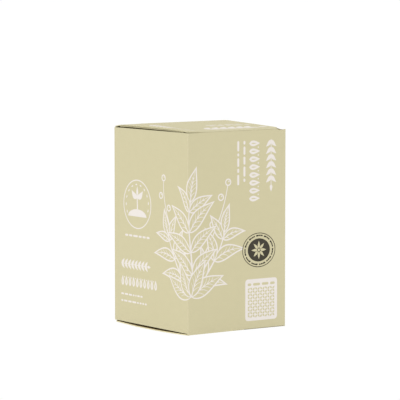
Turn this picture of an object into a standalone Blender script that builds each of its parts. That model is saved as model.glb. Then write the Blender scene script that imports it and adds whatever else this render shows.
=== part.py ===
# Boxed mushroom grow kit: a folded carton with a tuck lid and dust flaps, closed over a bagged
# block of substrate. The front wall faces -Y, the lid folds along the top of the back wall.
import math

import bmesh
import bpy

MM = 0.001

# The carton's driving sizes
CARTON_WIDTH = 120.4 * MM  # outside, left wall to right wall
CARTON_DEPTH = 131.2 * MM  # outside, front wall to back wall
WALL_HEIGHT = 200.0 * MM  # front wall, from its bottom fold to its top edge
BOARD = 1.05 * MM  # thickness of the fine-flute board
CORNER_RADIUS = 1.8 * MM  # outside of the walls' vertical folds
PLAY = 0.3 * MM  # between pieces that touch

# How the carton stands: the bottom panel sags to the ground between its folds
FRONT_FOLD_Z = 1.5 * MM
SIDE_FOLD_Z = 2.9 * MM
WALL_TOP = FRONT_FOLD_Z + WALL_HEIGHT
SAG_FROM = 42.0 * MM  # the flat on the ground, measured back from the front
SAG_TO = 84.0 * MM
SAG_POWER = 1.6

# The lid's bow, as heights above the walls' top edge and depths back from the front
LID_FRONT_LIFT = 0.6 * MM
LID_CREST_LIFT = 4.5 * MM
LID_CREST_DEPTH = 101.0 * MM
LID_RISE_POWER = 1.1
LID_FALL = 4.2 * MM
LID_FALL_POWER = 1.6
LID_EDGE_LIFT = 3.45 * MM  # the left edge stands off its wall, held up by the flap below
LID_EDGE_DIP = 1.5 * MM
LID_EDGE_DIP_LENGTH = 20.0 * MM
LID_EDGE_BLEND = 26.0 * MM
LID_SIDE_INSET = 0.5 * MM
LID_LOW_FROM = 116.0 * MM
LID_LOW_RUN = 6.0 * MM
LID_FOLD_DEPTH = BOARD + 2.0 * PLAY  # the front fold passes behind the front wall
TAB_LENGTH = 15.6 * MM  # the slit at the left end of the front fold
TAB_DEPTH = 0.4 * MM
LEFT_CORNER_CUT = (4.0 * MM, 5.0 * MM)
RIGHT_CORNER_CUT = (9.4 * MM, 13.0 * MM)

TUCK_LENGTH = 21.0 * MM
TUCK_WIDTH = 113.0 * MM
TUCK_CORNER = 14.0 * MM
TUCK_LEAN = math.radians(8.5)  # inwards, so that it clears the front wall as the lid lifts

DUST_REACH = 45.0 * MM
DUST_FRONT = 9.0 * MM
DUST_FRONT_TAPER = 0.18
DUST_BACK = 5.0 * MM

GLUE_TAB_WIDTH = 15.0 * MM
GLUE_TAB_END = 5.0 * MM

# The bagged block
BLOCK_SIZE = (106.0 * MM, 115.0 * MM, 158.0 * MM)
BLOCK_ROUNDING = 7.0 * MM
FILM = 0.4 * MM
BAG_RISE = 7.0 * MM
ROLL_LENGTH = 92.0 * MM
ROLL_WIDTH = 26.0 * MM
ROLL_THICKNESS = 9.0 * MM

HALF_WIDTH = CARTON_WIDTH / 2
FRONT_Y = -CARTON_DEPTH / 2
BACK_Y = CARTON_DEPTH / 2

PRINTED = ("printed_board", (0.66, 0.60, 0.40), 0.75)
SUBSTRATE = ("substrate", (0.80, 0.77, 0.68), 0.9)
FILM_CLEAR = ("bag_film", (0.85, 0.87, 0.86), 0.25)


def remove_old_objects():
    for old in list(bpy.data.objects):
        bpy.data.objects.remove(old, do_unlink=True)


def new_collection(name):
    collection = bpy.data.collections.new(name)
    bpy.context.scene.collection.children.link(collection)
    return collection


def finish(name, look):
    """A Principled material from a (name, colour, roughness) look."""
    label, colour, roughness = look
    material = bpy.data.materials.new(f"{name}_{label}")
    material.use_nodes = True
    shader = material.node_tree.nodes["Principled BSDF"]
    shader.inputs["Base Color"].default_value = (*colour, 1.0)
    shader.inputs["Roughness"].default_value = roughness
    shader.inputs["Metallic"].default_value = 0.0
    return material


def add_object(name, mesh, look, origin=(0.0, 0.0, 0.0)):
    """Link a mesh whose points are in world space, with the object's origin moved to a given point."""
    for vertex in mesh.vertices:
        vertex.co.x -= origin[0]
        vertex.co.y -= origin[1]
        vertex.co.z -= origin[2]
    piece = bpy.data.objects.new(name, mesh)
    piece.location = origin
    mesh.materials.append(finish(name, look))
    parts.objects.link(piece)
    return piece


def smooth_step(value):
    value = min(1.0, max(0.0, value))
    return value * value * (3.0 - 2.0 * value)


def panel_mesh(name, columns, rows, place):
    """An open sheet from a grid primitive: place(a, b) gives the point for a and b from 0 to 1."""
    sheet = bmesh.new()
    bmesh.ops.create_grid(sheet, x_segments=columns, y_segments=rows, size=0.5)
    for vertex in sheet.verts:
        vertex.co = place(vertex.co.x + 0.5, vertex.co.y + 0.5)
    mesh = bpy.data.meshes.new(name)
    sheet.to_mesh(mesh)
    sheet.free()
    return mesh


def thicken(piece, thickness):
    """Give an open sheet its thickness, below or inside the modelled face."""
    solid = piece.modifiers.new("board", "SOLIDIFY")
    solid.thickness = thickness
    solid.offset = -1.0
    solid.use_even_offset = True


def box_mesh(name, low, high):
    block = bmesh.new()
    bmesh.ops.create_cube(block, size=1.0)
    for vertex in block.verts:
        for axis in range(3):
            share = vertex.co[axis] + 0.5
            vertex.co[axis] = low[axis] + share * (high[axis] - low[axis])
    mesh = bpy.data.meshes.new(name)
    block.to_mesh(mesh)
    block.free()
    return mesh


def add_cutter(name, low, high):
    cutter = bpy.data.objects.new(name, box_mesh(name, low, high))
    cutter.hide_render = True
    cutter.display_type = "WIRE"
    cutters.objects.link(cutter)
    return cutter


def combine(piece, other, operation):
    cut = piece.modifiers.new(other.name, "BOOLEAN")
    cut.operation = operation
    cut.solver = "EXACT"
    cut.object = other


def lid_top(x, depth):
    """Height of the lid's upper face at x, at a depth back from the carton's front."""
    rise = 1.0 - max(0.0, 1.0 - depth / LID_CREST_DEPTH) ** LID_RISE_POWER
    past = max(0.0, depth - LID_CREST_DEPTH) / (CARTON_DEPTH - LID_CREST_DEPTH)
    fall = LID_FALL * past**LID_FALL_POWER
    middle = LID_FRONT_LIFT + (LID_CREST_LIFT - LID_FRONT_LIFT) * rise - fall
    edge = LID_EDGE_LIFT - LID_EDGE_DIP * math.exp(-depth / LID_EDGE_DIP_LENGTH) - 0.75 * fall
    share = smooth_step(1.0 - (x + HALF_WIDTH) / LID_EDGE_BLEND)
    return WALL_TOP + middle + (edge - middle) * share


def lid_inset(x, depth):
    """How far the lid's side edge stands in from the wall: inside the wall's top edge where the lid is low."""
    low = smooth_step((depth - LID_LOW_FROM) / LID_LOW_RUN)
    if x > 0:
        low = max(low, smooth_step((RIGHT_CORNER_CUT[1] + LID_LOW_RUN - depth) / LID_LOW_RUN))
    return LID_SIDE_INSET + low * (BOARD + PLAY - LID_SIDE_INSET)


def bottom_under(depth):
    """Height of the bottom panel's lower face at a depth back from the carton's front."""
    before = max(0.0, SAG_FROM - depth) / SAG_FROM
    after = max(0.0, depth - SAG_TO) / (CARTON_DEPTH - SAG_TO)
    return FRONT_FOLD_Z * max(before, after) ** SAG_POWER


def make_carton_body():
    """Four walls from a box without ends, its vertical folds rounded, with the glue tab inside the back."""
    walls = bmesh.new()
    bmesh.ops.create_cube(walls, size=1.0)
    ends = [face for face in walls.faces if abs(face.normal.z) > 0.5]
    bmesh.ops.delete(walls, geom=ends, context="FACES_ONLY")
    for vertex in walls.verts:
        vertex.co.x *= CARTON_WIDTH
        vertex.co.y *= CARTON_DEPTH
        vertex.co.z = FRONT_FOLD_Z if vertex.co.z < 0 else WALL_TOP
    folds = [edge for edge in walls.edges if abs(edge.verts[0].co.z - edge.verts[1].co.z) > BOARD]
    bmesh.ops.bevel(walls, geom=folds, offset=CORNER_RADIUS, segments=4, profile=0.5, affect="EDGES")
    mesh = bpy.data.meshes.new("carton_body")
    walls.to_mesh(mesh)
    walls.free()
    body = add_object("carton_body", mesh, PRINTED)
    thicken(body, BOARD)

    tab_low = (HALF_WIDTH - BOARD - GLUE_TAB_WIDTH, BACK_Y - 2.0 * BOARD, SIDE_FOLD_Z + GLUE_TAB_END)
    tab_high = (HALF_WIDTH - 0.5 * BOARD, BACK_Y - 0.5 * BOARD, WALL_TOP - GLUE_TAB_END)
    combine(body, add_cutter("glue_tab", tab_low, tab_high), "UNION")

    reach = 2.0 * BOARD
    side_front = FRONT_Y + CORNER_RADIUS
    for side, outer in (("left", -HALF_WIDTH), ("right", HALF_WIDTH)):
        low = (outer - reach, side_front, -BOARD)
        high = (outer + reach, BACK_Y + BOARD, SIDE_FOLD_Z)
        combine(body, add_cutter(f"{side}_bottom_edge", low, high), "DIFFERENCE")
    return body


def make_lid():
    """The bowed top panel, its front corners cut, and its left front tab free of the front fold."""
    width = CARTON_WIDTH - 2.0 * LID_SIDE_INSET
    columns = [0.0, LEFT_CORNER_CUT[0], TAB_LENGTH * 0.6, TAB_LENGTH - LID_SIDE_INSET]
    columns += [TAB_LENGTH + 2.0 * PLAY, 21.0 * MM, 29.0 * MM]
    middle_columns = 6
    first = columns[-1]
    last = width - RIGHT_CORNER_CUT[0]
    columns += [first + (last - first) * (i + 1) / middle_columns for i in range(middle_columns)]
    columns += [width - RIGHT_CORNER_CUT[0] / 2, width]
    steps_across = len(columns) - 1

    def place(a, b):
        x = -HALF_WIDTH + LID_SIDE_INSET + columns[round(a * steps_across)]
        from_left = x + HALF_WIDTH
        from_right = HALF_WIDTH - x
        front = TAB_DEPTH if from_left < TAB_LENGTH + PLAY else LID_FOLD_DEPTH
        for distance, (across, along) in ((from_left, LEFT_CORNER_CUT), (from_right, RIGHT_CORNER_CUT)):
            front = max(front, along * (1.0 - distance / across))
        back = CARTON_DEPTH - BOARD - PLAY
        depth = front + b * (back - front)
        within = HALF_WIDTH - lid_inset(x, depth)
        x = min(within, max(-within, x))
        return (x, FRONT_Y + depth, lid_top(x, depth))

    mesh = panel_mesh("lid", steps_across, 18, place)
    lid = add_object("lid", mesh, PRINTED, origin=LID_AXIS)
    thicken(lid, BOARD)
    return lid


def make_tuck_flap():
    """A flat panel with two rounded corners, hung from the lid's front fold and leaning inwards."""
    top = lid_top(0.0, LID_FOLD_DEPTH) - BOARD - PLAY
    outline = bpy.data.curves.new("tuck_outline", "CURVE")
    outline.dimensions = "2D"
    outline.fill_mode = "BOTH"
    outline.extrude = BOARD / 2
    spline = outline.splines.new("POLY")
    half = TUCK_WIDTH / 2
    shoulder = TAB_LENGTH + 1.0 * MM
    points = [(-HALF_WIDTH + shoulder, 0.0), (-half, -2.5 * MM)]
    steps = 8
    for sign in (-1, 1):
        for step in range(steps + 1):
            turn = math.radians(90.0) * step / steps
            if sign > 0:
                turn = math.radians(90.0) - turn
            across = half - TUCK_CORNER + TUCK_CORNER * math.cos(turn)
            points.append((sign * across, -TUCK_LENGTH + TUCK_CORNER - TUCK_CORNER * math.sin(turn)))
    points += [(half, -2.5 * MM), (HALF_WIDTH - shoulder, 0.0)]
    spline.points.add(len(points) - 1)
    for point, (across, down) in zip(spline.points, points):
        point.co = (across, down, 0.0, 1.0)
    spline.use_cyclic_u = True
    guide = bpy.data.objects.new("tuck_outline", outline)
    cutters.objects.link(guide)
    bpy.context.view_layer.update()
    evaluated = guide.evaluated_get(bpy.context.evaluated_depsgraph_get())
    mesh = bpy.data.meshes.new_from_object(evaluated)
    bpy.data.objects.remove(guide, do_unlink=True)
    panel = bmesh.new()
    panel.from_mesh(mesh)
    bmesh.ops.remove_doubles(panel, verts=panel.verts, dist=0.00001)
    middle = FRONT_Y + LID_FOLD_DEPTH + BOARD / 2
    for vertex in panel.verts:
        across, down, out = vertex.co
        y = middle - out * math.cos(TUCK_LEAN) - down * math.sin(TUCK_LEAN)
        z = top + down * math.cos(TUCK_LEAN) - (BOARD / 2 + out) * math.sin(TUCK_LEAN)
        vertex.co = (across, y, z)
    bmesh.ops.recalc_face_normals(panel, faces=panel.faces[:])
    if panel.calc_volume(signed=True) < 0.0:
        bmesh.ops.reverse_faces(panel, faces=panel.faces[:])
    panel.to_mesh(mesh)
    panel.free()
    mesh.materials.clear()
    return add_object("tuck_flap", mesh, PRINTED, origin=TUCK_AXIS)


def make_dust_flap(side):
    """A side flap that lies close under the lid and follows its bow; its back corner is cut at 45 degrees."""
    sign = -1 if side == "left" else 1

    def place(a, b):
        across = BOARD + PLAY + a * DUST_REACH
        x = sign * (HALF_WIDTH - across)
        front = DUST_FRONT + DUST_FRONT_TAPER * across
        back = CARTON_DEPTH - DUST_BACK - across
        depth = front + b * (back - front)
        return (x, FRONT_Y + depth, lid_top(x, depth) - BOARD - PLAY)

    mesh = panel_mesh(f"dust_flap_{side}", 6, 14, place)
    if side == "left":
        flap_axis = (-HALF_WIDTH, 0.0, WALL_TOP)
    else:
        flap_axis = (HALF_WIDTH, 0.0, WALL_TOP)
        mesh.flip_normals()
    flap = add_object(f"dust_flap_{side}", mesh, PRINTED, origin=flap_axis)
    thicken(flap, BOARD)
    return flap


def make_bottom_panel():
    """One sheet from the front wall's bottom fold, sagging to the ground, then up inside the back wall."""
    front = BOARD + PLAY
    bend = 2.2 * MM
    turn_start = CARTON_DEPTH - 2.0 * (BOARD + PLAY) - bend
    flat_steps = 18
    bend_steps = 4
    rise_steps = 2
    inside_height = 18.0 * MM
    path = []
    for step in range(flat_steps + 1):
        depth = front + (turn_start - front) * step / flat_steps
        path.append((depth, bottom_under(depth)))
    start_z = path[-1][1]
    for step in range(1, bend_steps + 1):
        turn = math.radians(90.0) * step / bend_steps
        path.append((turn_start + bend * math.sin(turn), start_z + bend * (1.0 - math.cos(turn))))
    for step in range(1, rise_steps + 1):
        path.append((turn_start + bend, start_z + bend + inside_height * step / rise_steps))
    half = HALF_WIDTH - BOARD - PLAY
    last = len(path) - 1

    def place(a, b):
        depth, z = path[round(b * last)]
        return (-half + a * 2.0 * half, FRONT_Y + depth, z)

    mesh = panel_mesh("bottom_panel", 2, last, place)
    mesh.flip_normals()
    panel = add_object("bottom_panel", mesh, PRINTED)
    thicken(panel, BOARD)
    return panel


def make_bottom_flap(side):
    """A side flap folded in under the block, resting on the bottom panel at its free edge."""
    sign = -1 if side == "left" else 1
    front = 8.0 * MM
    back = CARTON_DEPTH - 8.0 * MM

    def place(a, b):
        across = BOARD + PLAY + a * DUST_REACH
        depth = front + b * (back - front)
        carried = bottom_under(depth) + BOARD + PLAY
        z = SIDE_FOLD_Z + a * (carried - SIDE_FOLD_Z)
        return (sign * (HALF_WIDTH - across), FRONT_Y + depth, max(z, carried))

    mesh = panel_mesh(f"bottom_flap_{side}", 4, 12, place)
    if side == "left":
        mesh.flip_normals()
    flap = add_object(f"bottom_flap_{side}", mesh, PRINTED)
    thicken(flap, BOARD)
    return flap


def rounded_block(name, size, low_z, rounding):
    """A box standing at low_z with its edges rounded."""
    half_x = size[0] / 2
    half_y = size[1] / 2
    mesh = box_mesh(name, (-half_x, -half_y, low_z), (half_x, half_y, low_z + size[2]))
    shape = bmesh.new()
    shape.from_mesh(mesh)
    bmesh.ops.bevel(shape, geom=shape.edges[:], offset=rounding, segments=4, profile=0.5, affect="EDGES")
    shape.to_mesh(mesh)
    shape.free()
    return mesh


def make_substrate_block():
    mesh = rounded_block("substrate_block", BLOCK_SIZE, BLOCK_Z, BLOCK_ROUNDING)
    return add_object("substrate_block", mesh, SUBSTRATE)


def make_grow_bag():
    """Clear film close round the block, open above it."""
    spare = PLAY + FILM
    size = [BLOCK_SIZE[0] + 2 * spare, BLOCK_SIZE[1] + 2 * spare, BLOCK_SIZE[2] + 4 * BAG_RISE]
    mesh = rounded_block("grow_bag", size, BLOCK_Z - spare, BLOCK_ROUNDING + spare)
    bag = bmesh.new()
    bag.from_mesh(mesh)
    cut_height = BLOCK_Z + BLOCK_SIZE[2] + BAG_RISE
    everything = bag.verts[:] + bag.edges[:] + bag.faces[:]
    bmesh.ops.bisect_plane(
        bag, geom=everything, plane_co=(0, 0, cut_height), plane_no=(0, 0, 1), clear_outer=True
    )
    bag.to_mesh(mesh)
    bag.free()
    film = add_object("grow_bag", mesh, FILM_CLEAR)
    thicken(film, FILM)
    return film


def make_bag_roll():
    """The bag's upper end, rolled flat and lying across the block's top."""
    size = (ROLL_LENGTH, ROLL_WIDTH, ROLL_THICKNESS)
    mesh = rounded_block("bag_roll", size, BLOCK_Z + BLOCK_SIZE[2] + PLAY, ROLL_THICKNESS * 0.42)
    return add_object("bag_roll", mesh, FILM_CLEAR)


LID_AXIS = (0.0, BACK_Y, WALL_TOP)
TUCK_AXIS = (0.0, FRONT_Y + LID_FOLD_DEPTH, lid_top(0.0, LID_FOLD_DEPTH) - BOARD)
BLOCK_Z = SIDE_FOLD_Z + BOARD + PLAY + FILM + 2 * PLAY

remove_old_objects()
parts = new_collection("boxed_grow_kit")
cutters = new_collection("cutters")
make_carton_body()
lid_panel = make_lid()
tuck = make_tuck_flap()
tuck.parent = lid_panel
bpy.context.view_layer.update()
tuck.matrix_parent_inverse = lid_panel.matrix_world.inverted()
for flap_side in ("left", "right"):
    make_dust_flap(flap_side)
    make_bottom_flap(flap_side)
make_bottom_panel()
make_substrate_block()
make_grow_bag()
make_bag_roll()
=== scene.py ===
import math
import random

import bmesh
import bpy
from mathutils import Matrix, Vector, geometry, noise


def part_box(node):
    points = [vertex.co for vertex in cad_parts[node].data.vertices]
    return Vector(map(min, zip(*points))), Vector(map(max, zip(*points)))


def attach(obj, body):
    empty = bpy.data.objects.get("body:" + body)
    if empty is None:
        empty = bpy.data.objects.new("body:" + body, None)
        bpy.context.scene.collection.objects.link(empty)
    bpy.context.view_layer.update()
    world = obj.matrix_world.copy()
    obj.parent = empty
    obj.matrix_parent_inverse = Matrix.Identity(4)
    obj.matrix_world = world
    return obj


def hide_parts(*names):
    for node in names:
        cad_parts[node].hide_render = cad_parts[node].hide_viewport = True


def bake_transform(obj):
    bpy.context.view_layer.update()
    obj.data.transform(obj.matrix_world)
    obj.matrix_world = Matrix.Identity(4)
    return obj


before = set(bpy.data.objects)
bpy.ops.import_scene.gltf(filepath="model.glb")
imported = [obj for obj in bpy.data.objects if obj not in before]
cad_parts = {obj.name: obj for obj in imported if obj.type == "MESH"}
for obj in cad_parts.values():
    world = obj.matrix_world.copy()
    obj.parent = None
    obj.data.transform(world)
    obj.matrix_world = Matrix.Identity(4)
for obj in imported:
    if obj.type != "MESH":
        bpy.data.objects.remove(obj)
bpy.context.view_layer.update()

bl_info = {
    "name": "Boxed Mushroom Grow Kit",
    "version": (1, 0, 0),
    "blender": (4, 5, 0),
    "location": "View3D > Sidebar > Grow Kit",
    "description": "Builds a printed folding carton with its bagged block of mushroom substrate",
    "category": "Add Mesh",
}

# The shapes below are in millimetres, and become metres where a mesh or the frame takes them
MM = 0.001
QUARTER = math.pi / 2
FULL_TURN = 2.0 * math.pi

# The carton's size, from the frame
WALL_LOW, WALL_HIGH = (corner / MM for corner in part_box("carton_body"))
HALF_WIDTH = WALL_HIGH.x
FRONT_Y = WALL_LOW.y
BACK_Y = WALL_HIGH.y
DEPTH = BACK_Y - FRONT_Y
WALL_TOP = WALL_HIGH.z
FRONT_FOLD_Z = WALL_LOW.z
SIDE_FOLD_Z = FRONT_FOLD_Z + 1.7
BACK_FOOT_Z = FRONT_FOLD_Z + 1.5  # the back wall's cut edge, a little below the side walls' creases

# The board and its folds
BOARD = 1.05
PLAY = 0.3
LINER = 0.25  # the inner paper that is left whole along a cut fold
CORNER_RADIUS = 0.8
FOLD_RADIUS = 1.3
ARC_STEPS = 6
SEAM_GAP = 0.7  # the back wall's cut edge stops short of the right wall's outer face
GLUE_TAB = 15.0
GLUE_TAB_END = 5.0
CREASE_Z = WALL_TOP - 2.0  # the lid's sheet begins here, on the back wall
BOTTOM_CREASE_Z = FRONT_FOLD_Z + 2.2
LEFT_TOP_DROP = 0.5  # the left wall's top edge falls this much towards the back
TOP_DENT = 0.7  # the walls' top edge is dented beside the right corner, where the lid's corner is cut off
TOP_DENT_LENGTH = (9.0, 11.0)
CREASE_INSET = 2.0  # from the carton's corner to the end of a crease across the front or back wall

# The lid's bow, as heights above the walls' top edge and depths back from the front
LID_FRONT_LIFT = 0.6
LID_CREST_LIFT = 4.1
LID_CREST_DEPTH = 101.0
LID_RISE_POWER = 1.1
LID_FALL = 3.8
LID_FALL_POWER = 1.6
LID_EDGE_LIFT = 3.15
LID_EDGE_DIP = 1.75
LID_EDGE_DIP_LENGTH = 20.0
LID_EDGE_WIDTH = 4.0
LID_EDGE_BLEND = 15.0
LID_EDGE_WIDENS = 14.0  # the blend is this much longer at the front
LID_EDGE_FALL = 2.6
LID_EDGE_FALL_POWER = 3.0
LID_SIDE_INSET = 0.5
LID_LOW_FROM = 116.0
LID_LOW_RUN = 6.0
LID_FOLD_DEPTH = BOARD + 2.0 * PLAY
LID_BACK_TILT = math.radians(12.0)
TAB_LENGTH = 15.6
TAB_DEPTH = 0.4
LEFT_CORNER_CUT = (1.6, 2.4)
RIGHT_CORNER_CUT = (9.4, 13.0)

# The tuck flap
TUCK_LENGTH = 21.0
TUCK_WIDTH = 113.0
TUCK_CORNER = 14.0
TUCK_LEAN = math.radians(8.5)
TUCK_SHOULDER = 2.5  # the flap is at its full width from here below the front fold

# The dust flaps
DUST_REACH = 45.0
DUST_FRONT = 9.0
DUST_FRONT_TAPER = 0.18
DUST_BACK = 5.0
DUST_RELIEF = (3.0, 4.0)  # the flap's back corner at the fold is cut off, along the fold and in from it

# The strip of inner paper along a dust flap's cut fold
HINGE_ENDS = (1.0, 2.0)  # from its ends to the front and back ends of the fold
HINGE_REACH = 4.0  # how far it goes down the wall, and in under the flap
HINGE_PLAY = 0.03
HINGE_BEND = 0.9  # it leaves the wall this far below the wall's top edge
HINGE_BEND_WIDTH = 1.5

# The bottom panel and its side flaps
SAG_FROM = 58.0
SAG_TO = 92.0
SAG_POWER = 1.6
SAG_BACK_LIFT = 1.15
FRONT_BOW = 0.2  # how far the front fold arches up between its ends
BOTTOM_BEND = 1.2
BOTTOM_SIDE_INSET = 0.1
BOTTOM_TUCK = 18.0
BOTTOM_SHOULDER = 0.5  # how far the panel narrows to its tucked part
BOTTOM_CHAMFER = 1.2  # the panel narrows to the front crease over this depth
BOTTOM_FLAP_INSET = 8.0  # from the bottom flaps' ends to the front and back walls
SCORE_FROM = 8.4  # the bottom's front fold is cut through its outer paper from here to the right, and its dark line is partly painted shade under the fold
SCORE_END_GAP = 0.5
SCORE_WIDTH = 1.1
SCORE_ROUNDING = 0.3
SCORE_TICK = 0.8
SCORE_TICKS = 5
SCORE_TICK_PITCH = 2.5

# The looks of the board
FLUTE_PITCH = 2.4
WEAR_REACH = 1.5  # how far the rubbed ink reaches from the middle of a wall's fold
INK_MOTTLE = 9.0
INK_UNEVEN = 0.02
INK_RUBBED = 0.12  # the most that a fold loses of its ink
EDGE_PAINTED_LIGHT = 1.29  # how much paler the bottom panel's edge is: painted light, standing for the light that the floor throws up on it
FIBRE_GRAIN = 0.6

# The bagged block
BLOCK_LOW, BLOCK_HIGH = (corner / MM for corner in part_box("substrate_block"))
ROLL_LOW, ROLL_HIGH = (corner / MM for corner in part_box("bag_roll"))
BLOCK_ROUNDING = 7.0
BLOCK_CUTS = 71
BLOCK_LUMPS = 0.9  # how deep the pressed sawdust dips below the block's plain faces
LUMP_SIZE = 23.0
CHIP_SIZE = 3.2
CHIP_DEPTH = 0.45
FILM_STEP = 2.2
FILM_STAND_OFF = 0.5
FILM_WRINKLE = 2.0
FILM_TOP_FROM = 1.0  # creases stand up and not out from this far below the film's flat top
ROLL_TURNS = 3.25
ROLL_CORE = (3.0, 0.6)  # half the width and height of its first turn
ROLL_PLAY = 0.4  # from its last turn to the solid's sides
ROLL_END_INSET = 1.4
ROLL_RAGGED = 1.3
ROLL_DENTS = (0.35, 0.25)  # how high its soft dents and its sharp creases are
NECK_END_INSET = 1.5  # the film's flat neck ends this much inside the roll's ends
NECK_HALF_DEPTH = 0.8
NECK_ROUNDING = 0.6
NECK_RISE = 1.6
NECK_SLACK = 0.2
LONG_CREASE = 17.0
SMALL_CREASE = 6.5
PLEATS = 14.0
TAPE_WIDTH = 24.0
TAPE_REACH = 31.0
TAPE_ARCH = 18.0  # half the length of the tape's arch over the roll
TAPE_ASIDE = 8.0
TAPE_THICKNESS = 0.15
TAPE_STAND_OFF = 1.1
TAPE_OVER_ROLL = 0.5
TAPE_EASE = 4.0  # the film rises to its full creases over this much beside the tape
TAPE_PRESSED = 0.22  # the share of its creases that the film keeps under the tape

# The floor, the light and the camera
FLOOR_HALF = 4000.0
FLOOR_DROP = 0.2  # the floor lies this much below the carton, so that they don't touch
FLOOR_GLOW = 0.94
SEEN_WHITE = 1.01  # floor and room as the camera sees them: the photo's background is plain white
ROOM_LIGHT = 1.2
SUN_STRENGTH = 1.5
SUN_COLOUR = (1.0, 0.98, 0.92)
SUN_SPREAD = math.radians(50.0)
SUN_FROM = (-0.37, -0.12, 1.0)
CAMERA_YAW = math.radians(35.265)
CAMERA_PITCH = math.radians(5.169)
CAMERA_DISTANCE = 2520.6  # on the level, back from the carton's near bottom corner
CAMERA_ASIDE = 11.9
CAMERA_ABOVE = 362.5
CAMERA_LENS = 232.0
CAMERA_SENSOR = 36.0

# How finely the sheets are divided
LID_SIDE_STEPS = 28
LID_CREASE_STEPS = 24
LID_ROWS = 22
LID_COLUMNS = 20
TUCK_ROWS = 3
TUCK_CORNER_STEPS = 10
DUST_ROWS = 6
DUST_COLUMNS = 16
BOTTOM_ROWS = 24
BOTTOM_FLAP_ROWS = 4
BOTTOM_FLAP_COLUMNS = 12
HINGE_STEPS = 50
FILM_BASE_STEPS = 12
FILM_TOP_STEPS = 26
ROLL_STEPS = 110
ROLL_COLUMNS = 64
TAPE_STEPS = 70

SIDES = ((-1, "left"), (1, "right"))

# Which material each part of a board mesh takes
# The last look is a paler copy of the cut edge, with painted light from the floor below
GROUND, OFF_WHITE, DARK, SCORE_AND_SHADE, INSIDE, CUT_EDGE, LIT_EDGE_PAINTED = range(7)


def smooth_step(value):
    value = min(1.0, max(0.0, value))
    return value * value * (3.0 - 2.0 * value)


def steps(first, last, count):
    """Evenly spaced values from first to last, both included."""
    return [first + (last - first) * i / count for i in range(count + 1)]


# Colour and node helpers


def from_hex(code):
    """An sRGB hex colour as the linear values that Blender's sockets take."""
    channels = [int(code[i : i + 2], 16) / 255 for i in (0, 2, 4)]
    linear = [c / 12.92 if c <= 0.04045 else ((c + 0.055) / 1.055) ** 2.4 for c in channels]
    return (*linear, 1.0)


def fill_inputs(tree, node, inputs):
    """Give each input of a node its value, or link it to a socket."""
    for key, value in inputs.items():
        if isinstance(value, bpy.types.NodeSocket):
            tree.links.new(value, node.inputs[key])
        else:
            node.inputs[key].default_value = value


def add_node(tree, kind, settings=None, inputs=None):
    """Add a node with its settings and inputs."""
    node = tree.nodes.new(kind)
    for name, value in (settings or {}).items():
        setattr(node, name, value)
    fill_inputs(tree, node, inputs or {})
    return node


# Settings that a user would change


def length_setting(name, description, default, low, high):
    """A length in millimetres, held in metres as Blender holds its lengths."""
    return bpy.props.FloatProperty(
        name=name,
        description=description,
        default=default * MM,
        min=low * MM,
        max=high * MM,
        precision=5,
        unit="LENGTH",
    )


def colour_setting(name, description, code):
    """A colour, with its default as an sRGB hex value."""
    return bpy.props.FloatVectorProperty(
        name=name, description=description, default=from_hex(code)[:3], min=0.0, max=1.0, subtype="COLOR"
    )


class GROWKIT_PG_board(bpy.types.PropertyGroup):
    """The carton's board"""

    thickness: length_setting("Board thickness", "Thickness of the corrugated board", BOARD, 0.6, 1.2)
    fold_wear: bpy.props.FloatProperty(
        name="Fold wear",
        description="How much of the ink is rubbed off along the folds",
        default=1.0,
        min=0.0,
        max=1.0,
        subtype="FACTOR",
    )
    kraft: colour_setting("Kraft paper", "Colour of the unprinted paper inside", "A08B66")
    cut_edge: colour_setting("Cut edge", "Colour of the knife-cut edges between the flutes", "B4AE90")
    # the score's colour is darkened with painted shade, for the fold's underside in shade
    score_and_shade: colour_setting("Scored paper", "Colour of the score along the bottom's fold", "6E6A50")
    furrows: colour_setting("Furrows", "Colour in the shaded furrows of a cut edge", "9A9475")


class GROWKIT_PG_print(bpy.types.PropertyGroup):
    """The inks and the line drawing"""

    line: length_setting("Line width", "Width of the drawn outlines", 1.45, 0.8, 2.4)
    ground: colour_setting("Ground", "Colour of the ground that covers the whole board", "A7A184")
    off_white: colour_setting("Off-white ink", "Colour of the leaves, the rows and the panel", "BDB8B4")
    dark: colour_setting("Dark ink", "Colour of the round badge", "322F27")
    rubbed: colour_setting("Rubbed ink", "Colour that the inks take where they are rubbed thin", "C4BCAC")


class GROWKIT_PG_bag(bpy.types.PropertyGroup):
    """The bagged block inside"""

    lumps: length_setting("Block lumps", "How deep the pressed sawdust dips", BLOCK_LUMPS, 0.0, 2.0)
    wrinkle: length_setting("Film creases", "How far the creases stand off", FILM_WRINKLE, 0.0, 2.5)
    tape_width: length_setting("Tape width", "Width of the tape over the roll", TAPE_WIDTH, 10.0, 40.0)
    mycelium: colour_setting("Mycelium", "Colour of the white growth", "FAF8F2")
    sawdust: colour_setting("Sawdust", "Colour of the wood that shows through", "D0B78D")
    film: colour_setting("Film", "Tint of the clear film", "E9EEEC")
    tape: colour_setting("Tape", "Colour of the paper tape", "E6DCC0")


def opaque(colour, shade=1.0):
    """A setting's colour as a socket takes it, lighter or darker by a shade."""
    return (*(min(1.0, channel * shade) for channel in colour), 1.0)


# The carton's curved faces


def lid_top(x, depth):
    """Height of the lid's upper face at x, at a depth back from the carton's front."""
    rise = 1.0 - max(0.0, 1.0 - depth / LID_CREST_DEPTH) ** LID_RISE_POWER
    past = max(0.0, depth - LID_CREST_DEPTH) / (DEPTH - LID_CREST_DEPTH)
    middle = LID_FRONT_LIFT + (LID_CREST_LIFT - LID_FRONT_LIFT) * rise - LID_FALL * past**LID_FALL_POWER
    near = math.exp(-depth / LID_EDGE_DIP_LENGTH)
    edge = LID_EDGE_LIFT - LID_EDGE_DIP * near - LID_EDGE_FALL * past**LID_EDGE_FALL_POWER
    blend = LID_EDGE_BLEND + LID_EDGE_WIDENS * near
    share = smooth_step(1.0 - (x + HALF_WIDTH - LID_EDGE_WIDTH) / blend)
    return WALL_TOP + middle + (edge - middle) * share


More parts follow.
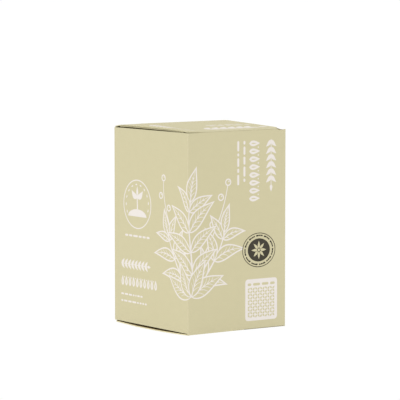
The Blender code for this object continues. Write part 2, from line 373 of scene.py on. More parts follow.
def lid_inset(x, depth):
    """How far the lid's side edge stands in from the wall: inside the right wall where the lid is low."""
    if x < 0:
        return LID_SIDE_INSET
    low = smooth_step((depth - LID_LOW_FROM) / LID_LOW_RUN)
    low = max(low, smooth_step((RIGHT_CORNER_CUT[1] + LID_LOW_RUN - depth) / LID_LOW_RUN))
    return LID_SIDE_INSET + low * (BOARD + PLAY - LID_SIDE_INSET)


def bottom_under(depth, x=HALF_WIDTH):
    """Height of the bottom panel's lower face at x, at a depth back from the carton's front."""
    before = max(0.0, SAG_FROM - depth) / SAG_FROM
    after = max(0.0, depth - SAG_TO) / (DEPTH - SAG_TO)
    front = FRONT_FOLD_Z + FRONT_BOW * (1.0 - (x / HALF_WIDTH) ** 4)
    return front * before**SAG_POWER + SAG_BACK_LIFT * after


def towards(heading):
    return Vector((math.cos(heading), math.sin(heading)))


def left_of(heading):
    return Vector((-math.sin(heading), math.cos(heading)))


class Course:
    """A line in a plane made of straight runs and rounded turns, followed by its length."""

    def __init__(self, start, heading):
        self.pieces = []
        self.length = 0.0
        self.tip = Vector(start)
        self.heading = heading

    def straight(self, length):
        self.pieces.append((self.length, self.tip.copy(), self.heading, 0.0))
        self.tip += length * towards(self.heading)
        self.length += length
        return self

    def turn(self, angle, radius):
        """Turn left by an angle, or right where it is negative."""
        side = math.copysign(radius, angle)
        self.pieces.append((self.length, self.tip.copy(), self.heading, side))
        centre = self.tip + side * left_of(self.heading)
        self.heading += angle
        self.tip = centre - side * left_of(self.heading)
        self.length += radius * abs(angle)
        return self

    def point(self, run):
        begin, tip, heading, side = [piece for piece in self.pieces if piece[0] <= max(run, 0.0)][-1]
        along = run - begin
        if side == 0.0:
            return tip + along * towards(heading)
        centre = tip + side * left_of(heading)
        return centre - side * left_of(heading + along / side)

    def joints(self):
        """Where along its length the course changes from straight to round and back."""
        return [piece[0] for piece in self.pieces] + [self.length]


SIDE_RUN = DEPTH - 2.0 * CORNER_RADIUS
FACE_RUN = 2.0 * (HALF_WIDTH - CORNER_RADIUS)
walls_course = Course((HALF_WIDTH - SEAM_GAP, BACK_Y), math.pi)
walls_course.straight(2.0 * HALF_WIDTH - SEAM_GAP - CORNER_RADIUS).turn(QUARTER, CORNER_RADIUS)
walls_course.straight(SIDE_RUN).turn(QUARTER, CORNER_RADIUS)
walls_course.straight(FACE_RUN).turn(QUARTER, CORNER_RADIUS)
walls_course.straight(SIDE_RUN - BOARD).turn(QUARTER, CORNER_RADIUS)
walls_course.straight(GLUE_TAB)
BACK_END, LEFT_START, LEFT_END, FRONT_START, FRONT_END, RIGHT_START, RIGHT_END, TAB_START, TAB_END = (
    walls_course.joints()[1:]
)
NEAR_CORNER = (LEFT_END + FRONT_START) / 2


def place_walls(run, height):
    """The walls' outer face: run goes round from the seam, over the back, left, front and right walls."""
    return Vector((*walls_course.point(run), height))


LID_BACK_START = DEPTH - FOLD_RADIUS * (1.0 - math.sin(LID_BACK_TILT))
LID_BACK_LENGTH = FOLD_RADIUS * (QUARTER - LID_BACK_TILT)
LID_BACK_MIDDLE = LID_BACK_START + LID_BACK_LENGTH / 2
LID_FRONT_START = LID_FOLD_DEPTH + FOLD_RADIUS


def lid_end(x):
    """Where the lid's sheet ends, on the back wall at the crease's height."""
    drop = lid_top(x, LID_BACK_START) - FOLD_RADIUS * math.cos(LID_BACK_TILT) - CREASE_Z
    return LID_BACK_START + LID_BACK_LENGTH + drop


def place_lid(x, depth):
    """The lid's upper face, going on over the back fold and a little way down the back wall."""
    if depth <= LID_BACK_START:
        return Vector((x, FRONT_Y + depth, lid_top(x, depth)))
    past = depth - LID_BACK_START
    turn = min(QUARTER, LID_BACK_TILT + past / FOLD_RADIUS)
    down = max(0.0, past - LID_BACK_LENGTH)
    y = BACK_Y - FOLD_RADIUS + FOLD_RADIUS * math.sin(turn)
    start = lid_top(x, LID_BACK_START) - FOLD_RADIUS * math.cos(LID_BACK_TILT)
    return Vector((x, y, start + FOLD_RADIUS * math.cos(turn) - down))


TUCK_ARC = FOLD_RADIUS * (QUARTER + TUCK_LEAN)


def place_tuck(x, up):
    """The tuck flap's outer face: up is 0 where the front fold begins on the lid, and less below it."""
    turn = min(QUARTER + TUCK_LEAN, -up / FOLD_RADIUS)
    down = max(0.0, -up - TUCK_ARC)
    depth = LID_FRONT_START - FOLD_RADIUS * math.sin(turn) + down * math.sin(TUCK_LEAN)
    z = lid_top(x, LID_FRONT_START) - FOLD_RADIUS * (1.0 - math.cos(turn)) - down * math.cos(TUCK_LEAN)
    return Vector((x, FRONT_Y + depth, z))


def place_dust_flap(side, along, across):
    """A dust flap's upper face: across is measured in from its side wall's outer face."""
    depth = side * along
    x = side * (HALF_WIDTH - across)
    return Vector((x, FRONT_Y + depth, lid_top(x, depth) - BOARD - PLAY))


BOTTOM_FRONT = FOLD_RADIUS
BOTTOM_TURN_START = DEPTH - 2.0 * (BOARD + PLAY) - BOTTOM_BEND
BOTTOM_ARC = FOLD_RADIUS * QUARTER
BOTTOM_RISE = BOTTOM_CREASE_Z - bottom_under(BOTTOM_FRONT) - FOLD_RADIUS


def place_bottom(x, forward):
    """The bottom panel's lower face: forward is minus the depth, then on up to the crease."""
    depth = -forward
    if depth > BOTTOM_TURN_START:
        past = depth - BOTTOM_TURN_START
        turn = min(QUARTER, past / BOTTOM_BEND)
        up = max(0.0, past - BOTTOM_BEND * QUARTER)
        y = FRONT_Y + BOTTOM_TURN_START + BOTTOM_BEND * math.sin(turn)
        z = bottom_under(BOTTOM_TURN_START) + BOTTOM_BEND * (1.0 - math.cos(turn)) + up
        return Vector((x, y, z))
    if depth >= BOTTOM_FRONT:
        return Vector((x, FRONT_Y + depth, bottom_under(depth, x)))
    past = BOTTOM_FRONT - depth
    turn = min(QUARTER, past / FOLD_RADIUS)
    up = max(0.0, past - BOTTOM_ARC) / BOTTOM_RISE
    fold_top = bottom_under(BOTTOM_FRONT, x) + FOLD_RADIUS
    z = fold_top - FOLD_RADIUS * math.cos(turn) + up * (BOTTOM_CREASE_Z - fold_top)
    return Vector((x, FRONT_Y + BOTTOM_FRONT - FOLD_RADIUS * math.sin(turn), z))


def place_bottom_flap(side, along, inward):
    """A bottom flap's lower face: inward is minus the distance in from its side wall's outer face."""
    depth = side * along
    across = -inward
    carried = bottom_under(depth) + BOARD + PLAY
    share = (across - BOARD - PLAY) / DUST_REACH
    z = max(carried, SIDE_FOLD_Z + share * (carried - SIDE_FOLD_Z))
    return Vector((side * (HALF_WIDTH - across), FRONT_Y + depth, z))


# Board meshes


def face_normal(place, across, up):
    """The outward normal of a placed sheet, from short steps either way."""
    step = 0.02
    along = place(across + step, up) - place(across - step, up)
    over = place(across, up + step) - place(across, up - step)
    return along.cross(over).normalized()


def triangulate(outline, shapes, lines):
    """Split an outline by ink shapes and lines. Gives flat points, triangles, the topmost shape of each
    triangle, and for each flat point its place in the outline or -1."""
    points = [Vector(point) for point in outline]
    faces = [list(range(len(outline)))]
    for shape in shapes:
        faces.append(list(range(len(points), len(points) + len(shape))))
        points += [Vector(point) for point in shape]
    edges = []
    for line in lines:
        edges.append((len(points), len(points) + 1))
        points += [Vector(point) for point in line]
    same = 0.0005  # points nearer to each other than this are one point
    found = geometry.delaunay_2d_cdt(points, edges, faces, 1, same, True)
    flat, _, triangles, point_sources, _, face_sources = found
    kept = [(tuple(t), max(s)) for t, s in zip(triangles, face_sources) if 0 in s]
    corners = [min(sources, default=-1) for sources in point_sources]
    corners = [corner if corner < len(outline) else -1 for corner in corners]
    return flat, [t for t, _ in kept], [top for _, top in kept], corners


def rim_of(triangles):
    """The sheet's outer edge as one loop of point numbers, anticlockwise."""
    sides = {(t[i], t[(i + 1) % 3]) for t in triangles for i in range(3)}
    following = {a: b for a, b in sides if (b, a) not in sides}
    start = next(iter(following))
    loop = [start]
    while following[loop[-1]] != start:
        loop.append(following[loop[-1]])
    if len(loop) != len(following):
        raise ValueError("a board sheet's edge is not one loop")
    return loop


def numbered(faces, first):
    """The points that faces use, in order, and each one's new number, counted from the first number."""
    used = sorted({i for face in faces for i in face})
    return used, {old: first + new for new, old in enumerate(used)}


def build_board(name, outline, place, art=(), lines=(), wear=None, edge=CUT_EDGE):
    """A sheet of board folded into place: a printed outer face, an inner face and the cut edge between.
    The print and the edge keep their flat places in millimetres in the sheet_place attribute."""
    thickness = bpy.context.scene.growkit_board.thickness / MM
    inks = [GROUND] + [ink for _, ink in art]
    flat, faces, tops, _ = triangulate(outline, [shape for shape, _ in art], lines)
    loop = rim_of(faces)
    back_flat, back_faces, _, back_corners = triangulate([flat[i] for i in loop], [], lines)
    used, number = numbered(faces, 0)
    back_used, back_number = numbered(back_faces, len(used))
    vertices = []
    normals = []
    for point in [flat[i] for i in used]:
        vertices.append(place(*point) * MM)
        normals.append(face_normal(place, *point))
    for point in [back_flat[i] for i in back_used]:
        normal = face_normal(place, *point)
        vertices.append((place(*point) - normal * thickness) * MM)
        normals.append(-normal)
    polygons = [tuple(number[i] for i in face) for face in faces]
    looks = [inks[top] for top in tops]
    places = [[(*flat[i], 0.0) for i in face] for face in faces]
    polygons += [tuple(back_number[i] for i in reversed(face)) for face in back_faces]
    looks += [INSIDE] * len(back_faces)
    places += [[(*back_flat[i], 0.0) for i in reversed(face)] for face in back_faces]
    below = {corner: back_number[old] for old, corner in enumerate(back_corners) if corner >= 0}
    run = 0.0
    for spot, outer in enumerate(loop):
        following = (spot + 1) % len(loop)
        next_outer = loop[following]
        end = run + (flat[next_outer] - flat[outer]).length
        polygons.append((number[outer], below[spot], below[following], number[next_outer]))
        looks.append(edge)
        places.append([(run, 0, 0), (run, thickness, 0), (end, thickness, 0), (end, 0, 0)])
        run = end
    worn = [wear(*flat[i]) if wear else 0.0 for i in used] + [0.0] * len(back_used)
    return board_object(name, vertices, normals, polygons, looks, places, worn)


def new_object(name, data):
    """A new object of this data, put in the scene."""
    made = bpy.data.objects.new(name, data)
    bpy.context.scene.collection.objects.link(made)
    return made


def board_object(name, vertices, normals, polygons, looks, places, worn):
    """Make the mesh object, with its materials, its smooth faces' normals and its attributes."""
    mesh = bpy.data.meshes.new(name)
    mesh.from_pydata(vertices, [], polygons)
    for material in board_materials():
        mesh.materials.append(material)
    mesh.polygons.foreach_set("material_index", looks)
    mesh.polygons.foreach_set("use_smooth", [look < CUT_EDGE for look in looks])
    flat_places = mesh.attributes.new("sheet_place", "FLOAT_VECTOR", "CORNER")
    flat_places.data.foreach_set("vector", [value for face in places for spot in face for value in spot])
    mesh.attributes.new("wear", "FLOAT", "POINT").data.foreach_set("value", worn)
    custom = []
    for polygon in mesh.polygons:
        flat_face = looks[polygon.index] >= CUT_EDGE
        for vertex in polygon.vertices:
            custom.append((0.0, 0.0, 0.0) if flat_face else normals[vertex])
    mesh.normals_split_custom_set(custom)
    return new_object(name, mesh)


# The print: flat shapes in millimetres, each a list of points and the ink that fills it

ORIGIN = (0.0, 0.0)
ROUND_STEP = 0.9  # the length of an ellipse's sides
STEM_STEPS = 60
STALK_STEPS = 30


def anticlockwise(points):
    area = sum(a[0] * b[1] - b[0] * a[1] for a, b in zip(points, points[1:] + points[:1]))
    return points if area > 0 else points[::-1]


def placed(shapes, at, turn=0.0):
    """Shapes turned and moved to their place on a sheet."""
    cosine, sine = math.cos(turn), math.sin(turn)
    moved = []
    for points, ink in shapes:
        there = [(at[0] + x * cosine - y * sine, at[1] + x * sine + y * cosine) for x, y in points]
        moved.append((anticlockwise(there), ink))
    return moved


def around(centre, turn, half_x, half_y=None):
    """The point at a turn of a circle, or of an ellipse where it is given two half sizes."""
    half_y = half_x if half_y is None else half_y
    return centre[0] + half_x * math.cos(turn), centre[1] + half_y * math.sin(turn)


def ellipse(centre, half_x, half_y, ink):
    count = max(12, round(FULL_TURN * max(half_x, half_y) / ROUND_STEP))
    points = [around(centre, turn, half_x, half_y) for turn in steps(0.0, FULL_TURN, count)[:-1]]
    return [(points, ink)]


def dot(centre, radius, ink=OFF_WHITE):
    return ellipse(centre, radius, radius, ink)


def oval_ring(centre, half_x, half_y, line, ink=OFF_WHITE):
    """A round or oval line, with the ground inside it."""
    return ellipse(centre, half_x, half_y, ink) + ellipse(centre, half_x - line, half_y - line, GROUND)


def rounded_panel(centre, wide, high, rounding, ink):
    """A panel with round corners; a bar where the rounding is half its height."""
    same = 0.01
    points = []
    for corner in range(4):
        side_x = 1 if corner in (0, 3) else -1
        side_y = 1 if corner in (0, 1) else -1
        x = centre[0] + side_x * (wide / 2 - rounding)
        y = centre[1] + side_y * (high / 2 - rounding)
        for turn in steps(corner * QUARTER, (corner + 1) * QUARTER, max(3, round(rounding * 2))):
            point = around((x, y), turn, rounding)
            if not points or math.dist(points[-1], point) > same:
                points.append(point)
    if math.dist(points[0], points[-1]) < same:
        points.pop()
    return [(points, ink)]


def bar(start, length, high, ink=OFF_WHITE):
    return rounded_panel((start[0] + length / 2, start[1]), length, high, high * 0.48, ink)


def curve(controls, count):
    """Points of a cubic Bezier curve."""
    a, b, c, d = (Vector(control) for control in controls)
    points = []
    for t in steps(0.0, 1.0, count):
        s = 1.0 - t
        points.append(s**3 * a + 3 * s * s * t * b + 3 * s * t * t * c + t**3 * d)
    return points


def stroke(points, first, last):
    """A line through points that goes from the first width to the last."""
    points = [Vector(point) for point in points]
    right, left = [], []
    for i, point in enumerate(points):
        along = points[min(i + 1, len(points) - 1)] - points[max(i - 1, 0)]
        across = Vector((along.y, -along.x)).normalized()
        half = (first + (last - first) * i / (len(points) - 1)) / 2
        right.append(tuple(point + across * half))
        left.append(tuple(point - across * half))
    return [(anticlockwise(right + left[::-1]), OFF_WHITE)]


def leaf_axis(length, bend, share):
    return Vector((length * share, bend * math.sin(math.pi * share) * length))


def leaf_half_width(width, share):
    """Half a lance-shaped leaf's width: widest a third of the way up, and drawn out to a point."""
    return 0.5 * width * math.sin(math.pi * share**0.72) * (1.0 - 0.18 * share)


def leaf_outline(length, width, bend, inset, ink):
    """A leaf from its base at the origin along x, drawn smaller by an inset."""
    first = inset / length
    shares = steps(first, 1.0 - 1.6 * first, max(8, round(length / 1.6)))
    upper, lower = [], []
    for share in shares:
        middle = leaf_axis(length, bend, share)
        half = max(0.03, leaf_half_width(width, share) - inset)
        lower.append((middle.x, middle.y - half))
        upper.append((middle.x, middle.y + half))
    return [(anticlockwise(lower + upper[::-1]), ink)]


def line_leaf(length, width, bend, line, veins):
    """A leaf drawn in outline, with a midrib and side veins that thin out towards its edge."""
    shapes = leaf_outline(length, width, bend, 0.0, OFF_WHITE)
    shapes += leaf_outline(length, width, bend, line, GROUND)
    rib = [leaf_axis(length, bend, share) for share in steps(0.0, 0.86, 12)]
    shapes += stroke(rib, line * 0.85, line * 0.3)
    for side in (-1, 1):
        for share in steps(0.14, 0.74, veins):
            root = leaf_axis(length, bend, share)
            reach = max(0.0, leaf_half_width(width, share + 0.1) - line * 1.35)
            if reach < 1.2:
                continue
            tip = root + Vector((reach * 1.3, side * reach))
            middle = (root + tip) / 2 + Vector((reach * 0.12, -side * reach * 0.1))
            shapes += stroke([root, middle, tip], line * 0.6, line * 0.2)
    return shapes


def full_leaf(length, width, bend=0.0, ink=OFF_WHITE):
    """A small leaf filled with ink."""
    return leaf_outline(length, width, bend, 0.0, ink)


def leaf_centred(centre, turn, length, width, ink):
    """A small leaf that lies across a point."""
    return placed(full_leaf(length, width, 0.0, ink), around(centre, turn, -length / 2), turn)


def leafy_stem(controls, pairs, longest, line, seed):
    """A stem with leaves in pairs that are longest at its middle, and one at its tip."""
    draw = random.Random(seed)
    path = curve(controls, STEM_STEPS)
    shapes = stroke(path, line * 1.5, line * 0.8)
    for pair in reversed(range(pairs)):
        share = 0.2 + 0.68 * pair / max(1, pairs - 1)
        step = round(share * STEM_STEPS)
        ahead = path[min(STEM_STEPS, step + 2)] - path[step]
        heading = math.atan2(ahead.y, ahead.x)
        size = longest * (0.6 + 0.4 * math.sin(math.pi * (0.2 + 0.75 * share)))
        for side in (-1, 1):
            length = size * draw.uniform(0.88, 1.08)
            width = length * draw.uniform(0.34, 0.42)
            bend = -side * draw.uniform(0.04, 0.12)
            leaf = line_leaf(length, width, bend, line, max(3, round(length / 9.0)))
            turn = heading + side * math.radians(draw.uniform(40.0, 60.0))
            shapes += placed(leaf, path[step], turn)
    ahead = path[-1] - path[-4]
    tip = line_leaf(longest * 0.78, longest * 0.32, 0.05, line, 5)
    return shapes + placed(tip, path[-1], math.atan2(ahead.y, ahead.x))


def berry_stalk(controls, berries, radius, line):
    """A thin stalk with round berries at its end and, to either side by turns, along it."""
    path = curve(controls, STALK_STEPS)
    shapes = stroke(path, line, line * 0.6)
    for berry in range(berries):
        step = STALK_STEPS - berry * 5
        ahead = path[min(STALK_STEPS, step + 1)] - path[step - 2]
        across = Vector((-ahead.y, ahead.x)).normalized() * (radius * 1.5 if berry % 2 else -radius * 1.5)
        centre = path[step] + (across if berry else ahead.normalized() * radius)
        shapes += oval_ring(centre, radius, radius, line * 0.85)
        shapes += dot(centre + Vector((radius * 0.25, radius * 0.25)), radius * 0.22)
    return shapes


def leaf_band(length, high, pitch):
    """A straight garland of filled leaves in pairs along a thin stem."""
    shapes = rounded_panel((length / 2, 0.0), length, 0.8, 0.35, OFF_WHITE)
    count = int(length / pitch)
    leaf = math.hypot(high / 2, high / 2) * 0.98
    for i in range(count):
        for side in (-1, 1):
            start = (pitch * (i + 0.12), side * 0.15)
            shapes += placed(full_leaf(leaf, leaf * 0.46, -side * 0.06), start, side * math.radians(44.0))
    return shapes + placed(full_leaf(high * 0.55, high * 0.28), (length - 0.5, 0.0))


def seed_band(length, high, pitch):
    """A straight row of upright filled seeds with a dot between each two."""
    shapes = []
    count = int(length / pitch)
    for i in range(count):
        x = pitch * (i + 0.5)
        shapes += placed(full_leaf(high, pitch * 0.78), (x, -high / 2), QUARTER)
        slit = full_leaf(high * 0.5, pitch * 0.16, 0.0, GROUND)
        shapes += placed(slit, (x, -high * 0.3), QUARTER)
        if i < count - 1:
            shapes += dot((x + pitch / 2, high * 0.34), 0.75)
    return shapes


def dash_row(length, high, seed, ink=OFF_WHITE):
    """A row of rounded dashes of uneven lengths, in place of a line of small print."""
    draw = random.Random(seed)
    shapes = []
    x = 0.0
    while x < length - high:
        dash = min(draw.uniform(1.2, 4.4) * high, length - x)
        shapes += bar((x, 0.0), dash, high, ink)
        x += dash + high * 0.8
    return shapes


def rosette(count, inner, outer, width, ink):
    """Filled leaves round a point."""
    shapes = []
    for i in range(count):
        turn = FULL_TURN * i / count + QUARTER
        shapes += placed(full_leaf(outer - inner, width, 0.0, ink), around(ORIGIN, turn, inner), turn)
    return shapes


def sprout(high):
    """A seedling: a stem with two seed leaves and a bud."""
    stem = [(0, 0), (0.03 * high, 0.2 * high), (-0.02 * high, 0.4 * high), (0, 0.62 * high)]
    shapes = stroke(curve(stem, 10), high * 0.08, high * 0.06)
    for side in (-1, 1):
        leaf = full_leaf(high * 0.52, high * 0.27, -side * 0.12)
        shapes += placed(leaf, (0.0, high * 0.5), QUARTER - side * math.radians(52.0))
    return shapes + placed(full_leaf(high * 0.4, high * 0.15), (0.0, high * 0.6), QUARTER)


def emblem(radius):
    """A ring round a seedling on a mound, with small leaves about it."""
    shapes = oval_ring(ORIGIN, radius, radius, 1.1)
    foot = (0.0, -radius * 0.5)
    mound = [around(foot, turn, radius * 0.66, radius * 0.3) for turn in steps(0.0, math.pi, 20)]
    shapes.append((mound, OFF_WHITE))
    shapes += placed(sprout(radius * 0.98), (0.0, -radius * 0.24))
    for turn in steps(math.radians(-20.0), math.radians(200.0), 10):
        shapes += placed(full_leaf(3.6, 1.7), around(ORIGIN, turn, radius * 0.8), turn + QUARTER)
    return shapes


def badge(half_x, half_y):
    """A dark oval seal: a thin ring, a band of marks and a disc with a rosette."""
    shapes = oval_ring(ORIGIN, half_x, half_y, 0.8, DARK)
    marks = 44
    for i in range(marks):
        spot = around(ORIGIN, FULL_TURN * i / marks, half_x * 0.835, half_y * 0.835)
        if i % 4 == 0:
            shapes += dot(spot, 0.95, DARK)
        else:
            shapes += placed(full_leaf(2.9, 1.7, 0.0, DARK), spot, math.atan2(spot[1], spot[0]) + QUARTER)
    shapes += ellipse(ORIGIN, half_x * 0.67, half_y * 0.67, DARK)
    shapes += rosette(8, half_y * 0.1, half_y * 0.53, half_y * 0.17, GROUND)
    return shapes + dot(ORIGIN, half_y * 0.08, GROUND)


def pattern_panel(wide, high):
    """A pale panel with round corners, a line of dashes and a field of lens-shaped tiles."""
    margin = 3.0
    shapes = rounded_panel(ORIGIN, wide, high, 3.4, OFF_WHITE)
    shapes += placed(dash_row(wide - 2.0 * margin, 2.6, 21, GROUND), (-wide / 2 + margin, high / 2 - 5.4))
    tiles = 11
    pitch = (wide - 2.0 * margin) / tiles
    for row in range(tiles - 1):
        for column in range(tiles):
            x = -wide / 2 + margin + pitch * (column + 0.5)
            y = -high / 2 + margin + pitch * (row + 0.5)
            turn = math.radians(45.0 if (row + column) % 2 else -45.0)
            shapes += leaf_centred((x, y), turn, 1.16 * pitch, 0.66 * pitch, GROUND)
    return shapes


def plant(line):
    """The large line drawing: leafy stems that arch out from one root, across the near corner."""
    shapes = berry_stalk([(6, 60), (30, 92), (44, 122), (48, 146)], 4, 3.7, line)
    shapes += berry_stalk([(0, 60), (-26, 92), (-44, 124), (-42, 150)], 4, 3.5, line)
    shapes += leafy_stem([(6, 40), (24, 60), (40, 80), (44, 100)], 3, 38.0, line, 5)
    shapes += leafy_stem([(2, 40), (-16, 62), (-30, 84), (-33, 96)], 3, 37.0, line, 6)
    shapes += leafy_stem([(4, 40), (9, 74), (-4, 104), (3, 132)], 4, 46.0, line, 8)
    for turn, length in ((152.0, 42.0), (26.0, 44.0), (116.0, 38.0), (64.0, 40.0)):
        shapes += placed(line_leaf(length, length * 0.44, 0.05, line, 5), (4.0, 38.0), math.radians(turn))
    return shapes


def drop(high):
    """A drop of water with its point up."""
    turns = steps(math.radians(22.0), math.radians(-202.0), 22)
    points = [(0.0, high)] + [around((0.0, 0.34 * high), turn, 0.3 * high) for turn in turns]
    return [(anticlockwise(points), OFF_WHITE)]


def sun_mark(radius, rays=10):
    shapes = dot(ORIGIN, radius * 0.5)
    for i in range(rays):
        turn = FULL_TURN * i / rays
        ray = bar(ORIGIN, radius * 0.4, radius * 0.13)
        shapes += placed(ray, around(ORIGIN, turn, radius * 0.66), turn)
    return shapes


def placed_marks(marks, across, up, turn=0.0):
    """Several marks, each with its place across and up from one point of the sheet."""
    shapes = []
    for mark, mark_across, mark_up in marks:
        shapes += placed(mark, (across + mark_across, up + mark_up), turn)
    return shapes


def left_wall_print():
    """Left of the near corner: the emblem, two garlands and rows of dashes."""
    return [
        (emblem(25.0), -89.0, 123.5),
        (dash_row(44.0, 2.0, 11), -111.0, 91.0),
        (leaf_band(48.0, 10.6, 6.0), -118.5, 61.5),
        (seed_band(66.0, 10.4, 6.6), -119.0, 44.0),
        (dash_row(40.0, 1.8, 12), -118.5, 30.2),
        (dash_row(47.0, 1.8, 13), -118.5, 23.2),
    ]


def front_wall_print():
    """Right of the near corner, running down the wall: two garlands and rows of dashes."""
    return [
        (leaf_band(46.0, 13.0, 7.2), 101.8, 190.5),
        (seed_band(64.0, 13.4, 7.9), 81.2, 191.0),
        (dash_row(41.0, 2.4, 14), 68.6, 190.0),
        (dash_row(47.0, 2.4, 15), 61.0, 190.0),
    ]


def right_wall_print():
    """From the right wall's middle: the emblem, and three ringed signs with rows of dashes beside them."""
    marks = [(emblem(21.0), 0.0, 150.0)]
    signs = ((drop(11.0), -5.5), (sun_mark(6.5), 0.0), (sprout(12.0), -5.5))
    for i, (sign, foot) in enumerate(signs):
        height = 104.0 - 28.0 * i
        marks.append((oval_ring(ORIGIN, 9.5, 9.5, 0.9), -42.0, height))
        marks.append((sign, -42.0, height + foot))
        for j in range(3):
            marks.append((dash_row(64.0 - 9.0 * j, 2.1, 31 + 3 * i + j), -24.0, height + 5.0 - 5.0 * j))
    return marks


def back_wall_print(line):
    """From the back wall's middle: a leafy stem over a garland and three rows of dashes."""
    stem = leafy_stem([(0, 0), (-6, 26), (7, 52), (0, 84)], 6, 27.0, line, 9)
    marks = [(stem, 0.0, 62.0), (leaf_band(62.0, 9.0, 5.6), -32.0, 43.0)]
    for j in range(3):
        marks.append((dash_row(76.0 - 8.0 * j, 2.2, 41 + j), -38.0 + 4.0 * j, 32.0 - 5.5 * j))
    return marks


def walls_print(line):
    """All the ink on the four walls, by run and height."""
    low = FRONT_FOLD_Z
    shapes = placed(plant(line), (NEAR_CORNER, low))
    shapes += placed_marks(left_wall_print(), NEAR_CORNER, low)
    shapes += placed_marks(front_wall_print(), NEAR_CORNER, low, -QUARTER)
    shapes += placed(badge(20.6, 17.4), (NEAR_CORNER + 86.7, low + 79.7))
    shapes += placed(pattern_panel(39.8, 42.0), (NEAR_CORNER + 89.8, low + 29.7))
    shapes += placed_marks(right_wall_print(), (RIGHT_START + RIGHT_END) / 2, low)
    return shapes + placed_marks(back_wall_print(line), BACK_END / 2, low)


def cut_score_and_shade(half_crease):
    """The knife's cut along the right half of the bottom's front fold, begun by a few short ticks, in a
    dark colour that is partly painted shade of the fold's underside.
    """
    middle = -BOTTOM_FRONT + BOTTOM_ARC / 2
    length = half_crease - SCORE_END_GAP - SCORE_FROM
    strips = [(SCORE_FROM + length / 2, length)]
    strips += [(SCORE_FROM - tick * SCORE_TICK_PITCH, SCORE_TICK) for tick in range(1, SCORE_TICKS + 1)]
    shapes = []
    for x, length in strips:
        shapes += rounded_panel((x, middle), length, SCORE_WIDTH, SCORE_ROUNDING, SCORE_AND_SHADE)
    return placed(shapes, ORIGIN)


def lid_print():
    """All the ink on the lid, by x and depth."""
    left = -HALF_WIDTH
    rows = [
        (leaf_band(68.0, 22.0, 10.0), 38.0, 26.0),
        (dash_row(50.0, 3.2, 51), 62.0, 50.0),
        (dash_row(42.0, 3.2, 52), 62.0, 57.5),
    ]
    columns = [(leaf_band(40.0, 12.0, 6.2), 13.0, 84.0), (dash_row(30.0, 3.0, 53), 14.0, 40.0)]
    return placed_marks(rows, left, 0.0) + placed_marks(columns, left, 0.0, -QUARTER)


# The block and its bag


def mesh_object(name, vertices, faces, material, smooth=True):
    """A mesh object from points in millimetres."""
    mesh = bpy.data.meshes.new(name)
    mesh.from_pydata([Vector(point) * MM for point in vertices], [], faces)
    mesh.materials.append(material)
    mesh.polygons.foreach_set("use_smooth", [smooth] * len(mesh.polygons))
    return new_object(name, mesh)


def turn_outwards(closed):
    """Turn the faces of a closed mesh outwards."""
    shape = bmesh.new()
    shape.from_mesh(closed.data)
    bmesh.ops.recalc_face_normals(shape, faces=shape.faces[:])
    shape.to_mesh(closed.data)
    shape.free()


def loft(rings):
    """Points and faces of a closed tube through rings that have equally many points."""
    count = len(rings[0])
    vertices = [point for ring in rings for point in ring]
    faces = []
    for low in range(0, (len(rings) - 1) * count, count):
        for i in range(count):
            j = (i + 1) % count
            faces.append((low + i, low + j, low + count + j, low + count + i))
    ends = [tuple(reversed(range(count))), tuple(range(len(vertices) - count, len(vertices)))]
    return vertices, faces + ends


def creased(spot, scale):
    """Between 0 and 1, with sharp ridges like the creases of a film."""
    return 1.0 - min(1.0, 2.2 * abs(noise.noise(Vector(spot) * scale)))


def round_block_point(cube_point):
    """A point of a cube from -1 to 1, moved onto the block with its rounded edges, and the normal there."""
    centre = (BLOCK_LOW + BLOCK_HIGH) / 2
    half = (BLOCK_HIGH - BLOCK_LOW) / 2
    spot = Vector([cube_point[i] * half[i] for i in range(3)])
    flat = [half[i] - BLOCK_ROUNDING for i in range(3)]
    core = Vector([min(max(spot[i], -flat[i]), flat[i]) for i in range(3)])
    normal = (spot - core).normalized()
    return centre + core + normal * BLOCK_ROUNDING, normal


def film_ring(half_x, half_y, rounding):
    """The bag's outline in plan, as a course once round."""
    rounding = min(rounding, half_x * 0.98, half_y * 0.98)
    flat_x = half_x - rounding
    flat_y = half_y - rounding
    course = Course((half_x, 0.0), QUARTER).straight(flat_y)
    for run in (2 * flat_x, 2 * flat_y, 2 * flat_x, flat_y):
        course.turn(QUARTER, rounding).straight(run)
    return course


def film_rows():
    """The bag's rings from its base up to the roll: half sizes, rounding, height and slack."""
    half = (BLOCK_HIGH - BLOCK_LOW) / 2
    x, y = half.x + FILM_STAND_OFF, half.y + FILM_STAND_OFF
    floor = BLOCK_LOW.z - FILM_STAND_OFF
    top = BLOCK_HIGH.z + FILM_STAND_OFF
    edge = BLOCK_ROUNDING + FILM_STAND_OFF
    first_share = 0.06  # the size of the innermost ring, which one face closes
    rows = []
    for share in steps(first_share, 1.0, FILM_BASE_STEPS):
        rows.append(((x - edge) * share, (y - edge) * share, edge * share, floor, 0.0))
    for turn in steps(0.0, QUARTER, ARC_STEPS)[1:]:
        out = edge * (math.sin(turn) - 1.0)
        rows.append((x + out, y + out, edge, floor + edge * (1.0 - math.cos(turn)), math.sin(turn)))
    height = top - floor - 2.0 * edge
    for share in steps(0.0, 1.0, round(height / FILM_STEP))[1:]:
        rows.append((x, y, edge, floor + edge + height * share, 1.0))
    for turn in steps(0.0, QUARTER, ARC_STEPS)[1:]:
        out = edge * (math.cos(turn) - 1.0)
        rows.append((x + out, y + out, edge, top - edge + edge * math.sin(turn), 1.0))
    neck = (ROLL_HIGH.x - ROLL_LOW.x) / 2 - NECK_END_INSET
    for share in steps(0.0, 1.0, FILM_TOP_STEPS)[1:]:
        wide = x - edge + (neck - x + edge) * smooth_step(share)
        deep = (y - edge) * (1.0 - share) + NECK_HALF_DEPTH * share
        rounding = edge * (1.0 - share) + NECK_ROUNDING
        slack = 1.0 - (1.0 - NECK_SLACK) * share**4
        rows.append((wide, deep, rounding, top + NECK_RISE * share**3, slack))
    return rows


